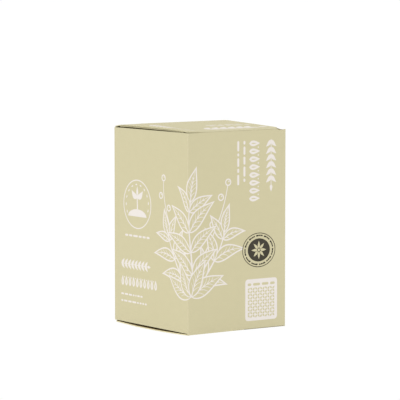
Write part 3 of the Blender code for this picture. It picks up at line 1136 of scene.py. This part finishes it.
def wrinkled(plan, outward, z, slack, top):
    """A point of the film, moved off the block where the film stands in creases as high as its slack."""
    spot = Vector((plan.x, plan.y, z))
    long_creases = creased((plan.x, plan.y, z * 0.3), 1.0 / LONG_CREASE)
    small_creases = creased((plan.x + z * 0.4, plan.y - z * 0.4, z), 1.0 / SMALL_CREASE)
    lift = slack * (0.75 * long_creases**3 + 0.35 * small_creases**2)
    if z < top:
        return Vector((spot.x + outward.x * lift, spot.y + outward.y * lift, z))
    shift = 2.0 * noise.noise(spot / 14.0)
    pleats = 0.5 + 0.5 * math.sin(PLEATS * math.atan2(spot.y, spot.x) + shift)
    lift += slack * 0.9 * pleats**4 * min(1.0, abs(spot.y) / 20.0)
    return Vector((spot.x, spot.y, z + lift))


def squarer(value):
    """A cosine or sine brought nearer to 1 or -1, so that the circle of them has fuller corners."""
    return math.copysign(abs(value) ** 0.8, value)


def roll_point(half, turn, share, across):
    """A point of the rolled film: across goes from -1 to 1 along the roll, share from its core out."""
    wide = ROLL_CORE[0] + (half.y - ROLL_PLAY - ROLL_CORE[0]) * share
    high = ROLL_CORE[1] + (half.z - ROLL_PLAY - ROLL_CORE[1]) * share
    ragged = ROLL_RAGGED * noise.noise((turn * 0.6, 3.0, 0.0))
    x = (half.x - ROLL_END_INSET + ragged) * across
    dent = ROLL_DENTS[0] * noise.noise((x / 9.0, turn * 0.7, 1.0))
    dent += ROLL_DENTS[1] * creased((x, turn * 3.0, 0.0), 0.2)
    return Vector((x, (wide + dent) * squarer(math.cos(turn)), (high + dent) * squarer(math.sin(turn))))


def hinge_section(side, depth):
    """A dust flap's paper hinge across the fold, as distances in from the wall's outer face and heights."""
    across = BOARD + PLAY
    under = lid_top(side * (HALF_WIDTH - across), depth) - 2.0 * BOARD - PLAY - HINGE_PLAY
    wall = BOARD + HINGE_PLAY
    bend = WALL_TOP - HINGE_BEND
    outer = [(wall, WALL_TOP - HINGE_REACH)]
    for turn in steps(0.0, QUARTER, ARC_STEPS):
        in_from_wall = HINGE_BEND_WIDTH * (1.0 - math.cos(turn))
        outer.append((wall + in_from_wall, bend + (under - bend) * math.sin(turn)))
    outer.append((across + HINGE_REACH, under))
    slant = LINER * 0.7
    inner = [(a + LINER, z) for a, z in outer[:3]]
    inner += [(a + slant, z - slant) for a, z in outer[3:-2]]
    inner += [(a, z - LINER) for a, z in outer[-2:]]
    return outer + list(reversed(inner))


# Materials


def kept_material(name, fill, *values):
    """The material of that name. A new one is filled by a function of its node tree and the values."""
    found = bpy.data.materials.get(name)
    if found:
        return found
    material = bpy.data.materials.new(name)
    material.use_nodes = True
    fill(material.node_tree, *values)
    return material


def set_shader(tree, inputs):
    fill_inputs(tree, tree.nodes["Principled BSDF"], inputs)


def object_place(tree):
    """The piece's own coordinates in millimetres, as a vector socket."""
    place = add_node(tree, "ShaderNodeTexCoord").outputs["Object"]
    scaled = add_node(tree, "ShaderNodeVectorMath", {"operation": "SCALE"}, {0: place, "Scale": 1.0 / MM})
    return scaled.outputs[0]


def sheet_place(tree):
    """The place on the flat sheet in millimetres, as a vector socket."""
    return add_node(tree, "ShaderNodeAttribute", {"attribute_name": "sheet_place"}).outputs["Vector"]


def calculated(tree, operation, *values):
    """What a math node makes of its values, as a socket."""
    return add_node(tree, "ShaderNodeMath", {"operation": operation}, dict(enumerate(values))).outputs[0]


def mottle(tree, place, scale, detail, **more):
    """Soft noise of about one lump in 1 / scale millimetres, as a socket from 0 to 1."""
    inputs = {"Vector": place, "Scale": scale, "Detail": detail, **more}
    return add_node(tree, "ShaderNodeTexNoise", {}, inputs).outputs[0]


def smooth_share(tree, value, low, high):
    """A socket that goes smoothly from 0 to 1 as the value goes from low to high."""
    inputs = {"Value": value, "From Min": low, "From Max": high}
    return add_node(tree, "ShaderNodeMapRange", {"interpolation_type": "SMOOTHSTEP"}, inputs).outputs[0]


def between(tree, share, first, last):
    """A socket that goes from the first number to the last as the share goes from 0 to 1."""
    inputs = {"Value": share, "To Min": first, "To Max": last}
    return add_node(tree, "ShaderNodeMapRange", {}, inputs).outputs[0]


def mix_colours(tree, share, first, last):
    """A colour socket that goes from the first colour to the last as the share goes from 0 to 1."""
    return add_node(tree, "ShaderNodeMix", {"data_type": "RGBA"}, {0: share, 6: first, 7: last}).outputs[2]


def bump(tree, height, strength, distance):
    """A normal from a socket of heights, with their distance in millimetres."""
    inputs = {"Height": height, "Strength": strength, "Distance": distance * MM}
    return add_node(tree, "ShaderNodeBump", {}, inputs).outputs[0]


def board_ink(tree, place, ink):
    """A printed colour, a little uneven as a thin coat of ink on paper is, and paler along the folds."""
    coat = mottle(tree, place, scale=1.0 / INK_MOTTLE, detail=4.0)
    colour = mix_colours(tree, coat, opaque(ink, 1.0 - INK_UNEVEN), opaque(ink, 1.0 + INK_UNEVEN))
    worn = add_node(tree, "ShaderNodeAttribute", {"attribute_name": "wear"}).outputs["Fac"]
    flecks = mottle(tree, place, scale=0.9, detail=3.0)
    most = INK_RUBBED * bpy.context.scene.growkit_board.fold_wear
    rubbed = calculated(tree, "MULTIPLY", calculated(tree, "MULTIPLY", worn, flecks), most)
    return mix_colours(tree, rubbed, colour, opaque(bpy.context.scene.growkit_print.rubbed))


def printed_board(tree, ink, roughness):
    """Clay-coated board with offset print: smooth and dull, with a faint grain of fibres under the coat."""
    place = sheet_place(tree)
    # The real fibres are 0.02 mm wide, too fine to show, so the grain is drawn at FIBRE_GRAIN
    inputs = {0: place, 1: (1.0, 0.3, 1.0)}
    stretched = add_node(tree, "ShaderNodeVectorMath", {"operation": "MULTIPLY"}, inputs).outputs[0]
    grain = mottle(tree, stretched, scale=1.0 / FIBRE_GRAIN, detail=3.0)
    normal = bump(tree, grain, strength=0.12, distance=0.1)
    colour = board_ink(tree, place, ink)
    set_shader(tree, {"Base Color": colour, "Roughness": roughness, "Normal": normal})
    set_shader(tree, {"Specular IOR Level": 0.1})


def cut_edge_board(tree, shade):
    """The knife-cut edge of fine-flute board: sage top coat, then the brown waves of the shaded flutes."""
    board = bpy.context.scene.growkit_board
    parts = add_node(tree, "ShaderNodeSeparateXYZ", {}, {0: sheet_place(tree)}).outputs
    along, depth = parts[0], parts[1]
    wave = calculated(tree, "SINE", calculated(tree, "MULTIPLY", along, FULL_TURN / FLUTE_PITCH))
    flute = calculated(tree, "MULTIPLY_ADD", wave, 0.3 * BOARD, 0.5 * BOARD)
    away = calculated(tree, "ABSOLUTE", calculated(tree, "SUBTRACT", depth, flute))
    gap = smooth_share(tree, away, 0.1 * BOARD, 0.3 * BOARD)
    core = mix_colours(tree, gap, opaque(board.cut_edge, shade), opaque(board.furrows, shade))
    below_coat = smooth_share(tree, depth, 0.12 * BOARD, 0.3 * BOARD)
    colour = mix_colours(tree, below_coat, opaque(bpy.context.scene.growkit_print.ground), core)
    set_shader(tree, {"Base Color": colour, "Roughness": 0.95, "Specular IOR Level": 0.1})


def board_materials():
    """The seven looks of a board sheet, in the order of their numbers."""
    inks = bpy.context.scene.growkit_print
    return [
        kept_material("sage_ground_on_board", printed_board, inks.ground, 0.7),
        kept_material("off_white_ink_on_board", printed_board, inks.off_white, 0.7),
        kept_material("dark_olive_ink_on_board", printed_board, inks.dark, 0.55),
        # the score's dark line: a cut, with painted shade of the bottom fold's underside
        kept_material("score_and_painted_shade_board", printed_board, bpy.context.scene.growkit_board.score_and_shade, 0.9),
        kept_material("kraft_paper", kraft_paper),
        kept_material("cut_corrugated_edge", cut_edge_board, 1.0),
        # a paler copy of the cut edge for the bottom panel: painted light from the floor below
        kept_material("painted_light_corrugated_edge", cut_edge_board, EDGE_PAINTED_LIGHT),
    ]


def kraft_paper(tree):
    """Unprinted kraft paper: brown, dull, with the fibres that the drum leaves lying one way."""
    fibres = mottle(tree, object_place(tree), scale=1.6, detail=4.0)
    kraft = bpy.context.scene.growkit_board.kraft
    colour = mix_colours(tree, fibres, opaque(kraft, 0.76), opaque(kraft, 1.2))
    set_shader(tree, {"Base Color": colour, "Roughness": 0.92, "Specular IOR Level": 0.2})


def fluting_in_painted_shade(tree):
    """The rough brown middle paper, bared where a fold is cut, with painted shade: its colour is darkened
    nearly to black to stand for the shade in the slot above the wall.
    """
    tufts = mottle(tree, object_place(tree), scale=1.1, detail=3.0)
    # painted shade: these near-black browns are the slot's shade, darker than the paper's own colour
    colour = mix_colours(tree, tufts, from_hex("2B2712"), from_hex("3B361D"))
    set_shader(tree, {"Base Color": colour, "Roughness": 1.0, "Specular IOR Level": 0.05})


def mycelium_on_sawdust(tree):
    """Damp sawdust bound by white mycelium: chalky white felt with tan wood showing where it is thin."""
    bag = bpy.context.scene.growkit_bag
    place = object_place(tree)
    patches = mottle(tree, place, scale=1.0 / 26.0, detail=5.0, Roughness=0.62)
    thin = smooth_share(tree, patches, 0.5, 0.68)
    chips = add_node(tree, "ShaderNodeTexVoronoi", {}, {"Vector": place, "Scale": 1.0 / 2.6})
    wood = mix_colours(tree, chips.outputs["Distance"], opaque(bag.sawdust, 0.6), opaque(bag.sawdust))
    felt = mottle(tree, place, scale=0.7, detail=6.0)
    white = mix_colours(tree, felt, opaque(bag.mycelium, 0.78), opaque(bag.mycelium))
    colour = mix_colours(tree, thin, white, wood)
    normal = bump(tree, felt, strength=0.5, distance=0.4)
    set_shader(tree, {"Base Color": colour, "Roughness": 0.95, "Normal": normal})
    set_shader(tree, {"Specular IOR Level": 0.2, "Sheen Weight": 0.25, "Sheen Roughness": 0.6})


def clear_polyethylene(tree):
    """Clear polyethylene film: nearly unseen face on, bright and milky along its creases and edges."""
    facing = add_node(tree, "ShaderNodeLayerWeight", {}, {"Blend": 0.35}).outputs["Facing"]
    haze = mottle(tree, object_place(tree), scale=0.12, detail=3.0)
    tint = opaque(bpy.context.scene.growkit_bag.film)
    set_shader(tree, {"Base Color": tint, "Roughness": between(tree, haze, 0.08, 0.3), "IOR": 1.51})
    set_shader(tree, {"Alpha": between(tree, facing, 0.16, 0.75)})


def creped_paper_tape(tree):
    """Creped paper tape: pale tan, dull, with fine crosswise ridges."""
    inputs = {"Vector": object_place(tree), "Scale": 0.35, "Distortion": 3.0, "Detail": 2.0}
    crepe = add_node(tree, "ShaderNodeTexWave", {"bands_direction": "Y"}, inputs).outputs["Fac"]
    tape = bpy.context.scene.growkit_bag.tape
    colour = mix_colours(tree, crepe, opaque(tape, 0.84), opaque(tape))
    normal = bump(tree, crepe, strength=0.4, distance=0.2)
    set_shader(tree, {"Base Color": colour, "Roughness": 0.8, "Normal": normal})


def light_table(tree):
    """The floor: a pale table, lit from within, that shows as plain white to the camera."""
    white = (1.0, 1.0, 1.0, 1.0)
    set_shader(tree, {"Base Color": from_hex("CFCFCD"), "Roughness": 0.8})
    set_shader(tree, {"Emission Color": white, "Emission Strength": FLOOR_GLOW})
    table = tree.nodes["Principled BSDF"].outputs["BSDF"]
    plain = add_node(tree, "ShaderNodeEmission", {}, {"Color": white, "Strength": SEEN_WHITE}).outputs[0]
    seen = add_node(tree, "ShaderNodeLightPath").outputs["Is Camera Ray"]
    mix = add_node(tree, "ShaderNodeMixShader", {}, {0: seen, 1: table, 2: plain})
    fill_inputs(tree, tree.nodes["Material Output"], {"Surface": mix.outputs[0]})


def soft_white_room(tree):
    """The room's even light, which shows as plain white to the camera."""
    seen = add_node(tree, "ShaderNodeLightPath").outputs["Is Camera Ray"]
    strength = between(tree, seen, ROOM_LIGHT, SEEN_WHITE)
    fill_inputs(tree, tree.nodes["Background"], {"Color": (1.0, 1.0, 1.0, 1.0), "Strength": strength})


# Outlines of the flat sheets, and the lines that let them bend


def top_dent(first, last):
    """A shallow dent in the walls' top edge, from one run to another."""
    quarter = (last - first) / 4
    low = WALL_TOP - TOP_DENT
    return [(first, WALL_TOP), (first + quarter, low), (last - quarter, low), (last, WALL_TOP)]


def walls_outline():
    """The walls from the seam round to the glue tab, with the creases of the bottom panel and the lid."""
    back_left = BACK_END - CREASE_INSET + CORNER_RADIUS
    front_left = FRONT_START + CREASE_INSET - CORNER_RADIUS
    front_right = FRONT_END - CREASE_INSET + CORNER_RADIUS
    back_right = CREASE_INSET - SEAM_GAP
    left_wall_back = LEFT_START + CREASE_INSET
    return [
        (0.0, BACK_FOOT_Z),
        (left_wall_back, BACK_FOOT_Z),
        (left_wall_back, SIDE_FOLD_Z),
        (LEFT_END, SIDE_FOLD_Z),
        (LEFT_END, FRONT_FOLD_Z),
        (front_left, FRONT_FOLD_Z),
        (front_left, BOTTOM_CREASE_Z),
        (front_right, BOTTOM_CREASE_Z),
        (front_right, FRONT_FOLD_Z),
        (RIGHT_START, FRONT_FOLD_Z),
        (RIGHT_START, SIDE_FOLD_Z),
        (RIGHT_END, SIDE_FOLD_Z),
        (TAB_START, SIDE_FOLD_Z + GLUE_TAB_END),
        (TAB_END, SIDE_FOLD_Z + 2.0 * GLUE_TAB_END),
        (TAB_END, WALL_TOP - 2.0 * GLUE_TAB_END),
        (TAB_START, WALL_TOP - GLUE_TAB_END),
        (RIGHT_END, WALL_TOP),
        *top_dent(RIGHT_START + TOP_DENT_LENGTH[1], RIGHT_START),
        *top_dent(FRONT_END, FRONT_END - TOP_DENT_LENGTH[0]),
        (LEFT_END, WALL_TOP),
        (LEFT_START, WALL_TOP - LEFT_TOP_DROP),
        (back_left, WALL_TOP - LEFT_TOP_DROP),
        (back_left, CREASE_Z),
        (back_right, CREASE_Z),
        (back_right, WALL_TOP),
        (0.0, WALL_TOP),
    ]


def lid_outline():
    """The lid with its front tab, its cut corners and the crease that it ends in on the back wall."""
    half_crease = HALF_WIDTH - CREASE_INSET
    tab = -HALF_WIDTH + TAB_LENGTH
    left_depths = steps(LEFT_CORNER_CUT[1], LID_BACK_START, LID_SIDE_STEPS)
    right_depths = steps(RIGHT_CORNER_CUT[1], LID_BACK_START, LID_SIDE_STEPS)
    outline = [(-HALF_WIDTH + LEFT_CORNER_CUT[0], TAB_DEPTH), (tab, TAB_DEPTH), (tab, LID_FRONT_START)]
    outline += [(HALF_WIDTH - RIGHT_CORNER_CUT[0], LID_FRONT_START)]
    outline += [(HALF_WIDTH - lid_inset(1.0, depth), depth) for depth in right_depths]
    outline += [(half_crease, LID_BACK_MIDDLE)]
    outline += [(x, lid_end(x)) for x in steps(half_crease, -half_crease, LID_CREASE_STEPS)]
    outline += [(-half_crease, LID_BACK_MIDDLE)]
    return outline + [(-HALF_WIDTH + lid_inset(-1.0, depth), depth) for depth in reversed(left_depths)]


def tuck_outline(low):
    """The tuck flap down to its low edge, with its lower corners rounded."""
    left = -HALF_WIDTH + TAB_LENGTH + PLAY
    right = HALF_WIDTH - RIGHT_CORNER_CUT[0] - PLAY
    half = TUCK_WIDTH / 2
    shoulder = -TUCK_ARC - TUCK_SHOULDER
    outline = [(left, 0.0), (left, -TUCK_ARC), (-half, shoulder)]
    for across, first in ((-half + TUCK_CORNER, math.pi), (half - TUCK_CORNER, math.pi + QUARTER)):
        for turn in steps(first, first + QUARTER, TUCK_CORNER_STEPS):
            outline.append(around((across, low + TUCK_CORNER), turn, TUCK_CORNER))
    return outline + [(half, shoulder), (right, -TUCK_ARC), (right, 0.0)]


def bottom_outline(half_crease, crease, shoulder):
    """The bottom panel from its crease in the front wall back to the part that is tucked up."""
    half = HALF_WIDTH - BOTTOM_SIDE_INSET
    half_tuck = HALF_WIDTH - BOARD - PLAY
    right = [(half_tuck, shoulder - BOTTOM_TUCK), (half_tuck, shoulder - BOTTOM_SHOULDER), (half, shoulder)]
    right += [(half, -BOTTOM_FRONT - BOTTOM_CHAMFER), (half_crease, -BOTTOM_FRONT), (half_crease, crease)]
    return right + [(-across, forward) for across, forward in reversed(right)]


def mirrored(corners, side):
    """A flap's corners as they are on the right, or turned over for the left."""
    return corners if side > 0 else [(-along, across) for along, across in reversed(corners)]


def grid_lines(columns, rows):
    """Lines right across a sheet, at these columns and rows."""
    far = 400.0
    lines = [((column, -far), (column, far)) for column in columns]
    return lines + [((-far, row), (far, row)) for row in rows]


def fold_wear(at, folds):
    """How much the ink is rubbed at a place: 1 on a fold, and 0 from WEAR_REACH off it."""
    return smooth_step(1.0 - min(abs(at - fold) for fold in folds) / WEAR_REACH)


# Operators


class GROWKIT_OT_walls(bpy.types.Operator):
    """Fold the carton's four printed walls and the glue tab"""

    bl_idname = "growkit.walls"
    bl_label = "Carton walls"

    def execute(self, context):
        bends = list(zip(walls_course.joints()[1::2], walls_course.joints()[2::2]))
        folds = [(start + end) / 2 for start, end in bends]
        runs = [run for start, end in bends for run in steps(start, end, ARC_STEPS)]
        runs += [fold + reach for fold in folds for reach in (-WEAR_REACH, WEAR_REACH)]
        above = WALL_TOP + 10.0
        lines = [((run, 0.0), (run, above)) for run in runs]

        def wear(run, height):
            return fold_wear(run, folds)

        art = walls_print(context.scene.growkit_print.line / MM)
        walls = build_board("carton_walls", walls_outline(), place_walls, art, lines, wear)
        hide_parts("carton_body")
        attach(walls, "carton")
        return {"FINISHED"}


class GROWKIT_OT_lid(bpy.types.Operator):
    """Fold the bowed lid and the crease that joins it to the back wall"""

    bl_idname = "growkit.lid"
    bl_label = "Lid"

    def execute(self, context):
        rows = steps(0.0, LID_BACK_START, LID_ROWS)
        rows += steps(LID_BACK_START, LID_BACK_START + LID_BACK_LENGTH, ARC_STEPS)
        lines = grid_lines(steps(-HALF_WIDTH, HALF_WIDTH, LID_COLUMNS), rows)

        def wear(x, depth):
            return fold_wear(depth, (LID_FRONT_START, LID_BACK_MIDDLE))

        lid = build_board("lid_panel", lid_outline(), place_lid, lid_print(), lines, wear)
        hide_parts("lid")
        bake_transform(lid)
        return {"FINISHED"}


class GROWKIT_OT_tuck_flap(bpy.types.Operator):
    """Fold the tuck flap down behind the front wall"""

    bl_idname = "growkit.tuck_flap"
    bl_label = "Tuck flap"

    def execute(self, context):
        low = -TUCK_ARC - TUCK_LENGTH
        rows = steps(-TUCK_ARC, 0.0, ARC_STEPS) + steps(low, -TUCK_ARC, TUCK_ROWS)
        lines = grid_lines(steps(-HALF_WIDTH, HALF_WIDTH, LID_COLUMNS), rows)
        flap = build_board("tuck_panel", tuck_outline(low), place_tuck, [], lines)
        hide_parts("tuck_flap")
        start = place_tuck(0.0, 0.0)
        end = place_tuck(0.0, -TUCK_ARC)
        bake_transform(flap)
        return {"FINISHED"}


class GROWKIT_OT_dust_flaps(bpy.types.Operator):
    """Lay the two dust flaps under the lid"""

    bl_idname = "growkit.dust_flaps"
    bl_label = "Dust flaps"

    def execute(self, context):
        for side, label in SIDES:
            self.build_flap(side, label)
        return {"FINISHED"}

    def build_flap(self, side, label):
        near = BOARD + PLAY
        far = near + DUST_REACH
        front_near = DUST_FRONT + DUST_FRONT_TAPER * near
        front_far = DUST_FRONT + DUST_FRONT_TAPER * far
        back_near = DEPTH - DUST_BACK - near
        back_far = DEPTH - DUST_BACK - far
        relief = (back_near - DUST_RELIEF[1], near + DUST_RELIEF[1])
        corners = [(front_near, near), (back_near - DUST_RELIEF[0], near), relief]
        corners += [(back_far, far), (front_far, far)]
        columns = [side * depth for depth in steps(front_near, back_near, DUST_COLUMNS)]
        lines = grid_lines(columns, steps(near, far, DUST_ROWS))

        def place(along, across):
            return place_dust_flap(side, along, across)

        flap = build_board(f"dust_flap_{label}_board", mirrored(corners, side), place, [], lines)
        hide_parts(f"dust_flap_{label}")
        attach(flap, f"dust_{label}")


class GROWKIT_OT_bottom(bpy.types.Operator):
    """Fold the bottom panel back from the front wall, with the two side flaps above it"""

    bl_idname = "growkit.bottom"
    bl_label = "Bottom"

    def execute(self, context):
        half_crease = HALF_WIDTH - CREASE_INSET
        fold_end = -BOTTOM_FRONT + BOTTOM_ARC
        shoulder = -(BOTTOM_TURN_START + BOTTOM_BEND * QUARTER)
        rows = steps(-BOTTOM_FRONT, fold_end, ARC_STEPS)
        rows += steps(-BOTTOM_TURN_START, -BOTTOM_FRONT, BOTTOM_ROWS)
        rows += steps(-BOTTOM_TURN_START, shoulder, ARC_STEPS)
        lines = grid_lines([0.0], rows)
        outline = bottom_outline(half_crease, fold_end + BOTTOM_RISE, shoulder)
        score = cut_score_and_shade(half_crease)
        # the bottom panel's edges take the paler cut edge: painted light from the floor
        panel = build_board("bottom_panel_board", outline, place_bottom, score, lines, edge=LIT_EDGE_PAINTED)
        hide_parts("bottom_panel")
        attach(panel, "carton")
        for side, label in SIDES:
            self.build_flap(side, label)
        return {"FINISHED"}

    def build_flap(self, side, label):
        front = BOTTOM_FLAP_INSET
        back = DEPTH - BOTTOM_FLAP_INSET
        near = -(BOARD + PLAY)
        far = near - DUST_REACH
        corners = [(front, near), (front, far), (back, far), (back, near)]
        columns = [side * depth for depth in steps(front, back, BOTTOM_FLAP_COLUMNS)]
        lines = grid_lines(columns, steps(far, near, BOTTOM_FLAP_ROWS))

        def place(along, inward):
            return place_bottom_flap(side, along, inward)

        flap = build_board(f"bottom_flap_{label}_board", mirrored(corners, side), place, [], lines)
        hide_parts(f"bottom_flap_{label}")
        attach(flap, "carton")


class GROWKIT_OT_dust_hinges(bpy.types.Operator):
    """Line each dust flap's cut fold with the strip of inner paper that it turns on"""

    bl_idname = "growkit.dust_hinges"
    bl_label = "Dust flap hinges"

    def execute(self, context):
        for side, label in SIDES:
            self.build_hinge(side, label)
        return {"FINISHED"}

    def build_hinge(self, side, label):
        front = DUST_FRONT + HINGE_ENDS[0]
        back = DEPTH - DUST_BACK - DUST_RELIEF[0] - HINGE_ENDS[1]
        rings = []
        for depth in steps(front, back, HINGE_STEPS):
            section = hinge_section(side, depth)
            rings.append([Vector((side * (HALF_WIDTH - a), FRONT_Y + depth, z)) for a, z in section])
        count = len(rings[0])
        hinge = mesh_object(f"dust_hinge_{label}", *loft(rings), kept_material("kraft_paper", kraft_paper))
        hinge.data.materials.append(kept_material("fluting_in_painted_shade", fluting_in_painted_shade))
        for polygon in hinge.data.polygons:
            # The strip's outer side, along the cut, shows the middle paper that was bared there, painted
            # dark as the slot's painted shade
            outer_side = max(vertex % count for vertex in polygon.vertices) < count // 2
            polygon.material_index = int(len(polygon.vertices) == 4 and outer_side)
        hinge.data.set_sharp_from_angle(angle=math.radians(40.0))
        turn_outwards(hinge)
        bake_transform(hinge)


class GROWKIT_OT_block(bpy.types.Operator):
    """Press the block of sawdust substrate, grown through with white mycelium"""

    bl_idname = "growkit.block"
    bl_label = "Substrate block"

    def execute(self, context):
        lumps = context.scene.growkit_bag.lumps / MM
        cube = bmesh.new()
        bmesh.ops.create_cube(cube, size=2.0)
        bmesh.ops.subdivide_edges(cube, edges=cube.edges[:], cuts=BLOCK_CUTS, use_grid_fill=True)
        for vertex in cube.verts:
            spot, normal = round_block_point(vertex.co)
            broad = noise.fractal(spot / LUMP_SIZE, 1.0, 2.0, 3)
            chips = noise.voronoi(spot / CHIP_SIZE)[0][0]
            dip = lumps * (0.55 - 0.45 * broad) + CHIP_DEPTH * min(1.0, chips)
            vertex.co = (spot - normal * max(0.0, dip)) * MM
        mesh = bpy.data.meshes.new("substrate_block_grown")
        cube.to_mesh(mesh)
        cube.free()
        mesh.materials.append(kept_material("mycelium_on_sawdust", mycelium_on_sawdust))
        mesh.polygons.foreach_set("use_smooth", [True] * len(mesh.polygons))
        block = new_object("substrate_block_grown", mesh)
        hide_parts("substrate_block")
        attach(block, "carton")
        return {"FINISHED"}


class GROWKIT_OT_bag(bpy.types.Operator):
    """Wrap the block in its clear bag, gathered on top into a flat roll held by a tape"""

    bl_idname = "growkit.bag"
    bl_label = "Grow bag"

    def execute(self, context):
        bag = context.scene.growkit_bag
        self.build_film(bag.wrinkle / MM, bag.tape_width / MM)
        self.build_roll()
        self.build_tape(bag.tape_width / MM)
        return {"FINISHED"}

    def build_film(self, wrinkle, tape_width):
        """The film from under the block up to the roll, pressed flat where the tape holds it."""
        columns = 2 * round((BLOCK_HIGH.x - BLOCK_LOW.x + BLOCK_HIGH.y - BLOCK_LOW.y) / FILM_STEP)
        top = BLOCK_HIGH.z + FILM_STAND_OFF - FILM_TOP_FROM
        step = 0.01
        rings = []
        for half_x, half_y, rounding, z, slack in film_rows():
            course = film_ring(half_x, half_y, rounding)
            ring = []
            for i in range(columns):
                run = course.length * i / columns
                plan = course.point(run)
                onward = course.point(run + step) - plan
                outward = Vector((onward.y, -onward.x)).normalized()
                free = smooth_step((abs(plan.x - TAPE_ASIDE) - tape_width / 2) / TAPE_EASE)
                pressed = 1.0 if z < top else TAPE_PRESSED + (1.0 - TAPE_PRESSED) * free
                ring.append(wrinkled(plan, outward, z, slack * wrinkle * pressed, top))
            rings.append(ring)
        material = kept_material("clear_polyethylene", clear_polyethylene)
        film = mesh_object("grow_bag_film", *loft(rings), material)
        turn_outwards(film)
        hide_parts("grow_bag")
        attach(film, "carton")

    def build_roll(self):
        """The bag's top, rolled up flat with ragged ends."""
        middle = (ROLL_LOW + ROLL_HIGH) / 2
        half = (ROLL_HIGH - ROLL_LOW) / 2
        vertices = []
        for share in steps(0.0, 1.0, ROLL_STEPS):
            for across in steps(-1.0, 1.0, ROLL_COLUMNS):
                vertices.append(middle + roll_point(half, share * ROLL_TURNS * FULL_TURN, share, across))
        faces = []
        for row in range(ROLL_STEPS):
            for i in range(ROLL_COLUMNS):
                low = row * (ROLL_COLUMNS + 1) + i
                faces.append((low, low + 1, low + ROLL_COLUMNS + 2, low + ROLL_COLUMNS + 1))
        material = kept_material("clear_polyethylene", clear_polyethylene)
        roll = mesh_object("bag_roll_film", vertices, faces, material)
        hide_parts("bag_roll")
        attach(roll, "carton")

    def build_tape(self, width):
        """A paper tape across the roll, pressed down on the film in front of it and behind."""
        floor = BLOCK_HIGH.z + FILM_STAND_OFF + TAPE_STAND_OFF
        rise = ROLL_HIGH.z - floor + TAPE_OVER_ROLL
        rings = []
        for y in steps(-TAPE_REACH, TAPE_REACH, TAPE_STEPS):
            over = rise * max(0.0, 1.0 - abs(y / TAPE_ARCH) ** 2.8) ** 0.8
            torn = 0.5 * noise.noise((y, 0.0, 0.0)) if abs(y) == TAPE_REACH else 0.0
            ring = []
            for side, height in ((-1, TAPE_THICKNESS), (1, TAPE_THICKNESS), (1, 0.0), (-1, 0.0)):
                ring.append(Vector((side * width / 2 + TAPE_ASIDE, y + torn, floor + over + height)))
            rings.append(ring)
        material = kept_material("creped_paper_tape", creped_paper_tape)
        tape = mesh_object("bag_tape", *loft(rings), material, smooth=False)
        turn_outwards(tape)
        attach(tape, "carton")


class GROWKIT_OT_stage(bpy.types.Operator):
    """Set the pale floor, the soft light and the camera"""

    bl_idname = "growkit.stage"
    bl_label = "Stage, light and camera"

    def execute(self, context):
        context.scene.view_settings.view_transform = "Standard"
        self.set_floor()
        self.set_light(context.scene)
        self.set_camera(context.scene)
        return {"FINISHED"}

    def set_floor(self):
        corners = [(x, y, 0.0) for x, y in ((-1, -1), (1, -1), (1, 1), (-1, 1))]
        points = [Vector(corner) * FLOOR_HALF for corner in corners]
        material = kept_material("light_table", light_table)
        floor = mesh_object("floor", points, [(0, 1, 2, 3)], material, smooth=False)
        floor.location.z = -FLOOR_DROP * MM

    def set_light(self, scene):
        world = bpy.data.worlds.new("soft_white_room")
        world.use_nodes = True
        soft_white_room(world.node_tree)
        scene.world = world
        sun_data = bpy.data.lights.new("soft_key", "SUN")
        sun_data.energy = SUN_STRENGTH
        sun_data.color = SUN_COLOUR
        sun_data.angle = SUN_SPREAD
        sun = new_object("soft_key", sun_data)
        sun.rotation_euler = Vector(SUN_FROM).to_track_quat("Z", "Y").to_euler()

    def set_camera(self, scene):
        """Set the camera at the photograph's place and angle."""
        near_corner = Vector((-HALF_WIDTH, FRONT_Y, FRONT_FOLD_Z)) * MM
        back = Vector((-math.sin(CAMERA_YAW), -math.cos(CAMERA_YAW), 0.0)) * (CAMERA_DISTANCE * MM)
        right = Vector((math.cos(CAMERA_YAW), -math.sin(CAMERA_YAW), 0.0)) * (CAMERA_ASIDE * MM)
        up = Vector((0.0, 0.0, CAMERA_ABOVE * MM))
        camera_data = bpy.data.cameras.new("camera")
        camera_data.sensor_width = CAMERA_SENSOR
        camera_data.lens = CAMERA_LENS
        camera = new_object("camera", camera_data)
        camera.location = near_corner + back + right + up
        camera.rotation_euler = (QUARTER - CAMERA_PITCH, 0.0, -CAMERA_YAW)
        scene.camera = camera


class GROWKIT_PT_sidebar(bpy.types.Panel):
    bl_idname = "GROWKIT_PT_sidebar"
    bl_label = "Grow Kit"
    bl_space_type = "VIEW_3D"
    bl_region_type = "UI"
    bl_category = "Grow Kit"

    def draw(self, context):
        for group in SETTINGS:
            box = self.layout.box()
            box.label(text=SETTINGS[group].__doc__)
            for setting in SETTINGS[group].__annotations__:
                box.prop(getattr(context.scene, group), setting)
        for piece in PIECES:
            self.layout.operator(piece.bl_idname)


SETTINGS = {
    "growkit_board": GROWKIT_PG_board,
    "growkit_print": GROWKIT_PG_print,
    "growkit_bag": GROWKIT_PG_bag,
}
PIECES = (
    GROWKIT_OT_stage,
    GROWKIT_OT_walls,
    GROWKIT_OT_lid,
    GROWKIT_OT_tuck_flap,
    GROWKIT_OT_dust_flaps,
    GROWKIT_OT_dust_hinges,
    GROWKIT_OT_bottom,
    GROWKIT_OT_block,
    GROWKIT_OT_bag,
)
CLASSES = (*SETTINGS.values(), *PIECES, GROWKIT_PT_sidebar)


def register():
    for entry in CLASSES:
        bpy.utils.register_class(entry)
    for group, settings in SETTINGS.items():
        setattr(bpy.types.Scene, group, bpy.props.PointerProperty(type=settings))


def unregister():
    for group in SETTINGS:
        delattr(bpy.types.Scene, group)
    for entry in reversed(CLASSES):
        bpy.utils.unregister_class(entry)


def main():
    register()
    bpy.ops.growkit.stage()
    bpy.ops.growkit.walls()
    bpy.ops.growkit.lid()
    bpy.ops.growkit.tuck_flap()
    bpy.ops.growkit.dust_flaps()
    bpy.ops.growkit.dust_hinges()
    bpy.ops.growkit.bottom()
    bpy.ops.growkit.block()
    bpy.ops.growkit.bag()
    bpy.context.view_layer.update()


if __name__ == "__main__":
    main()
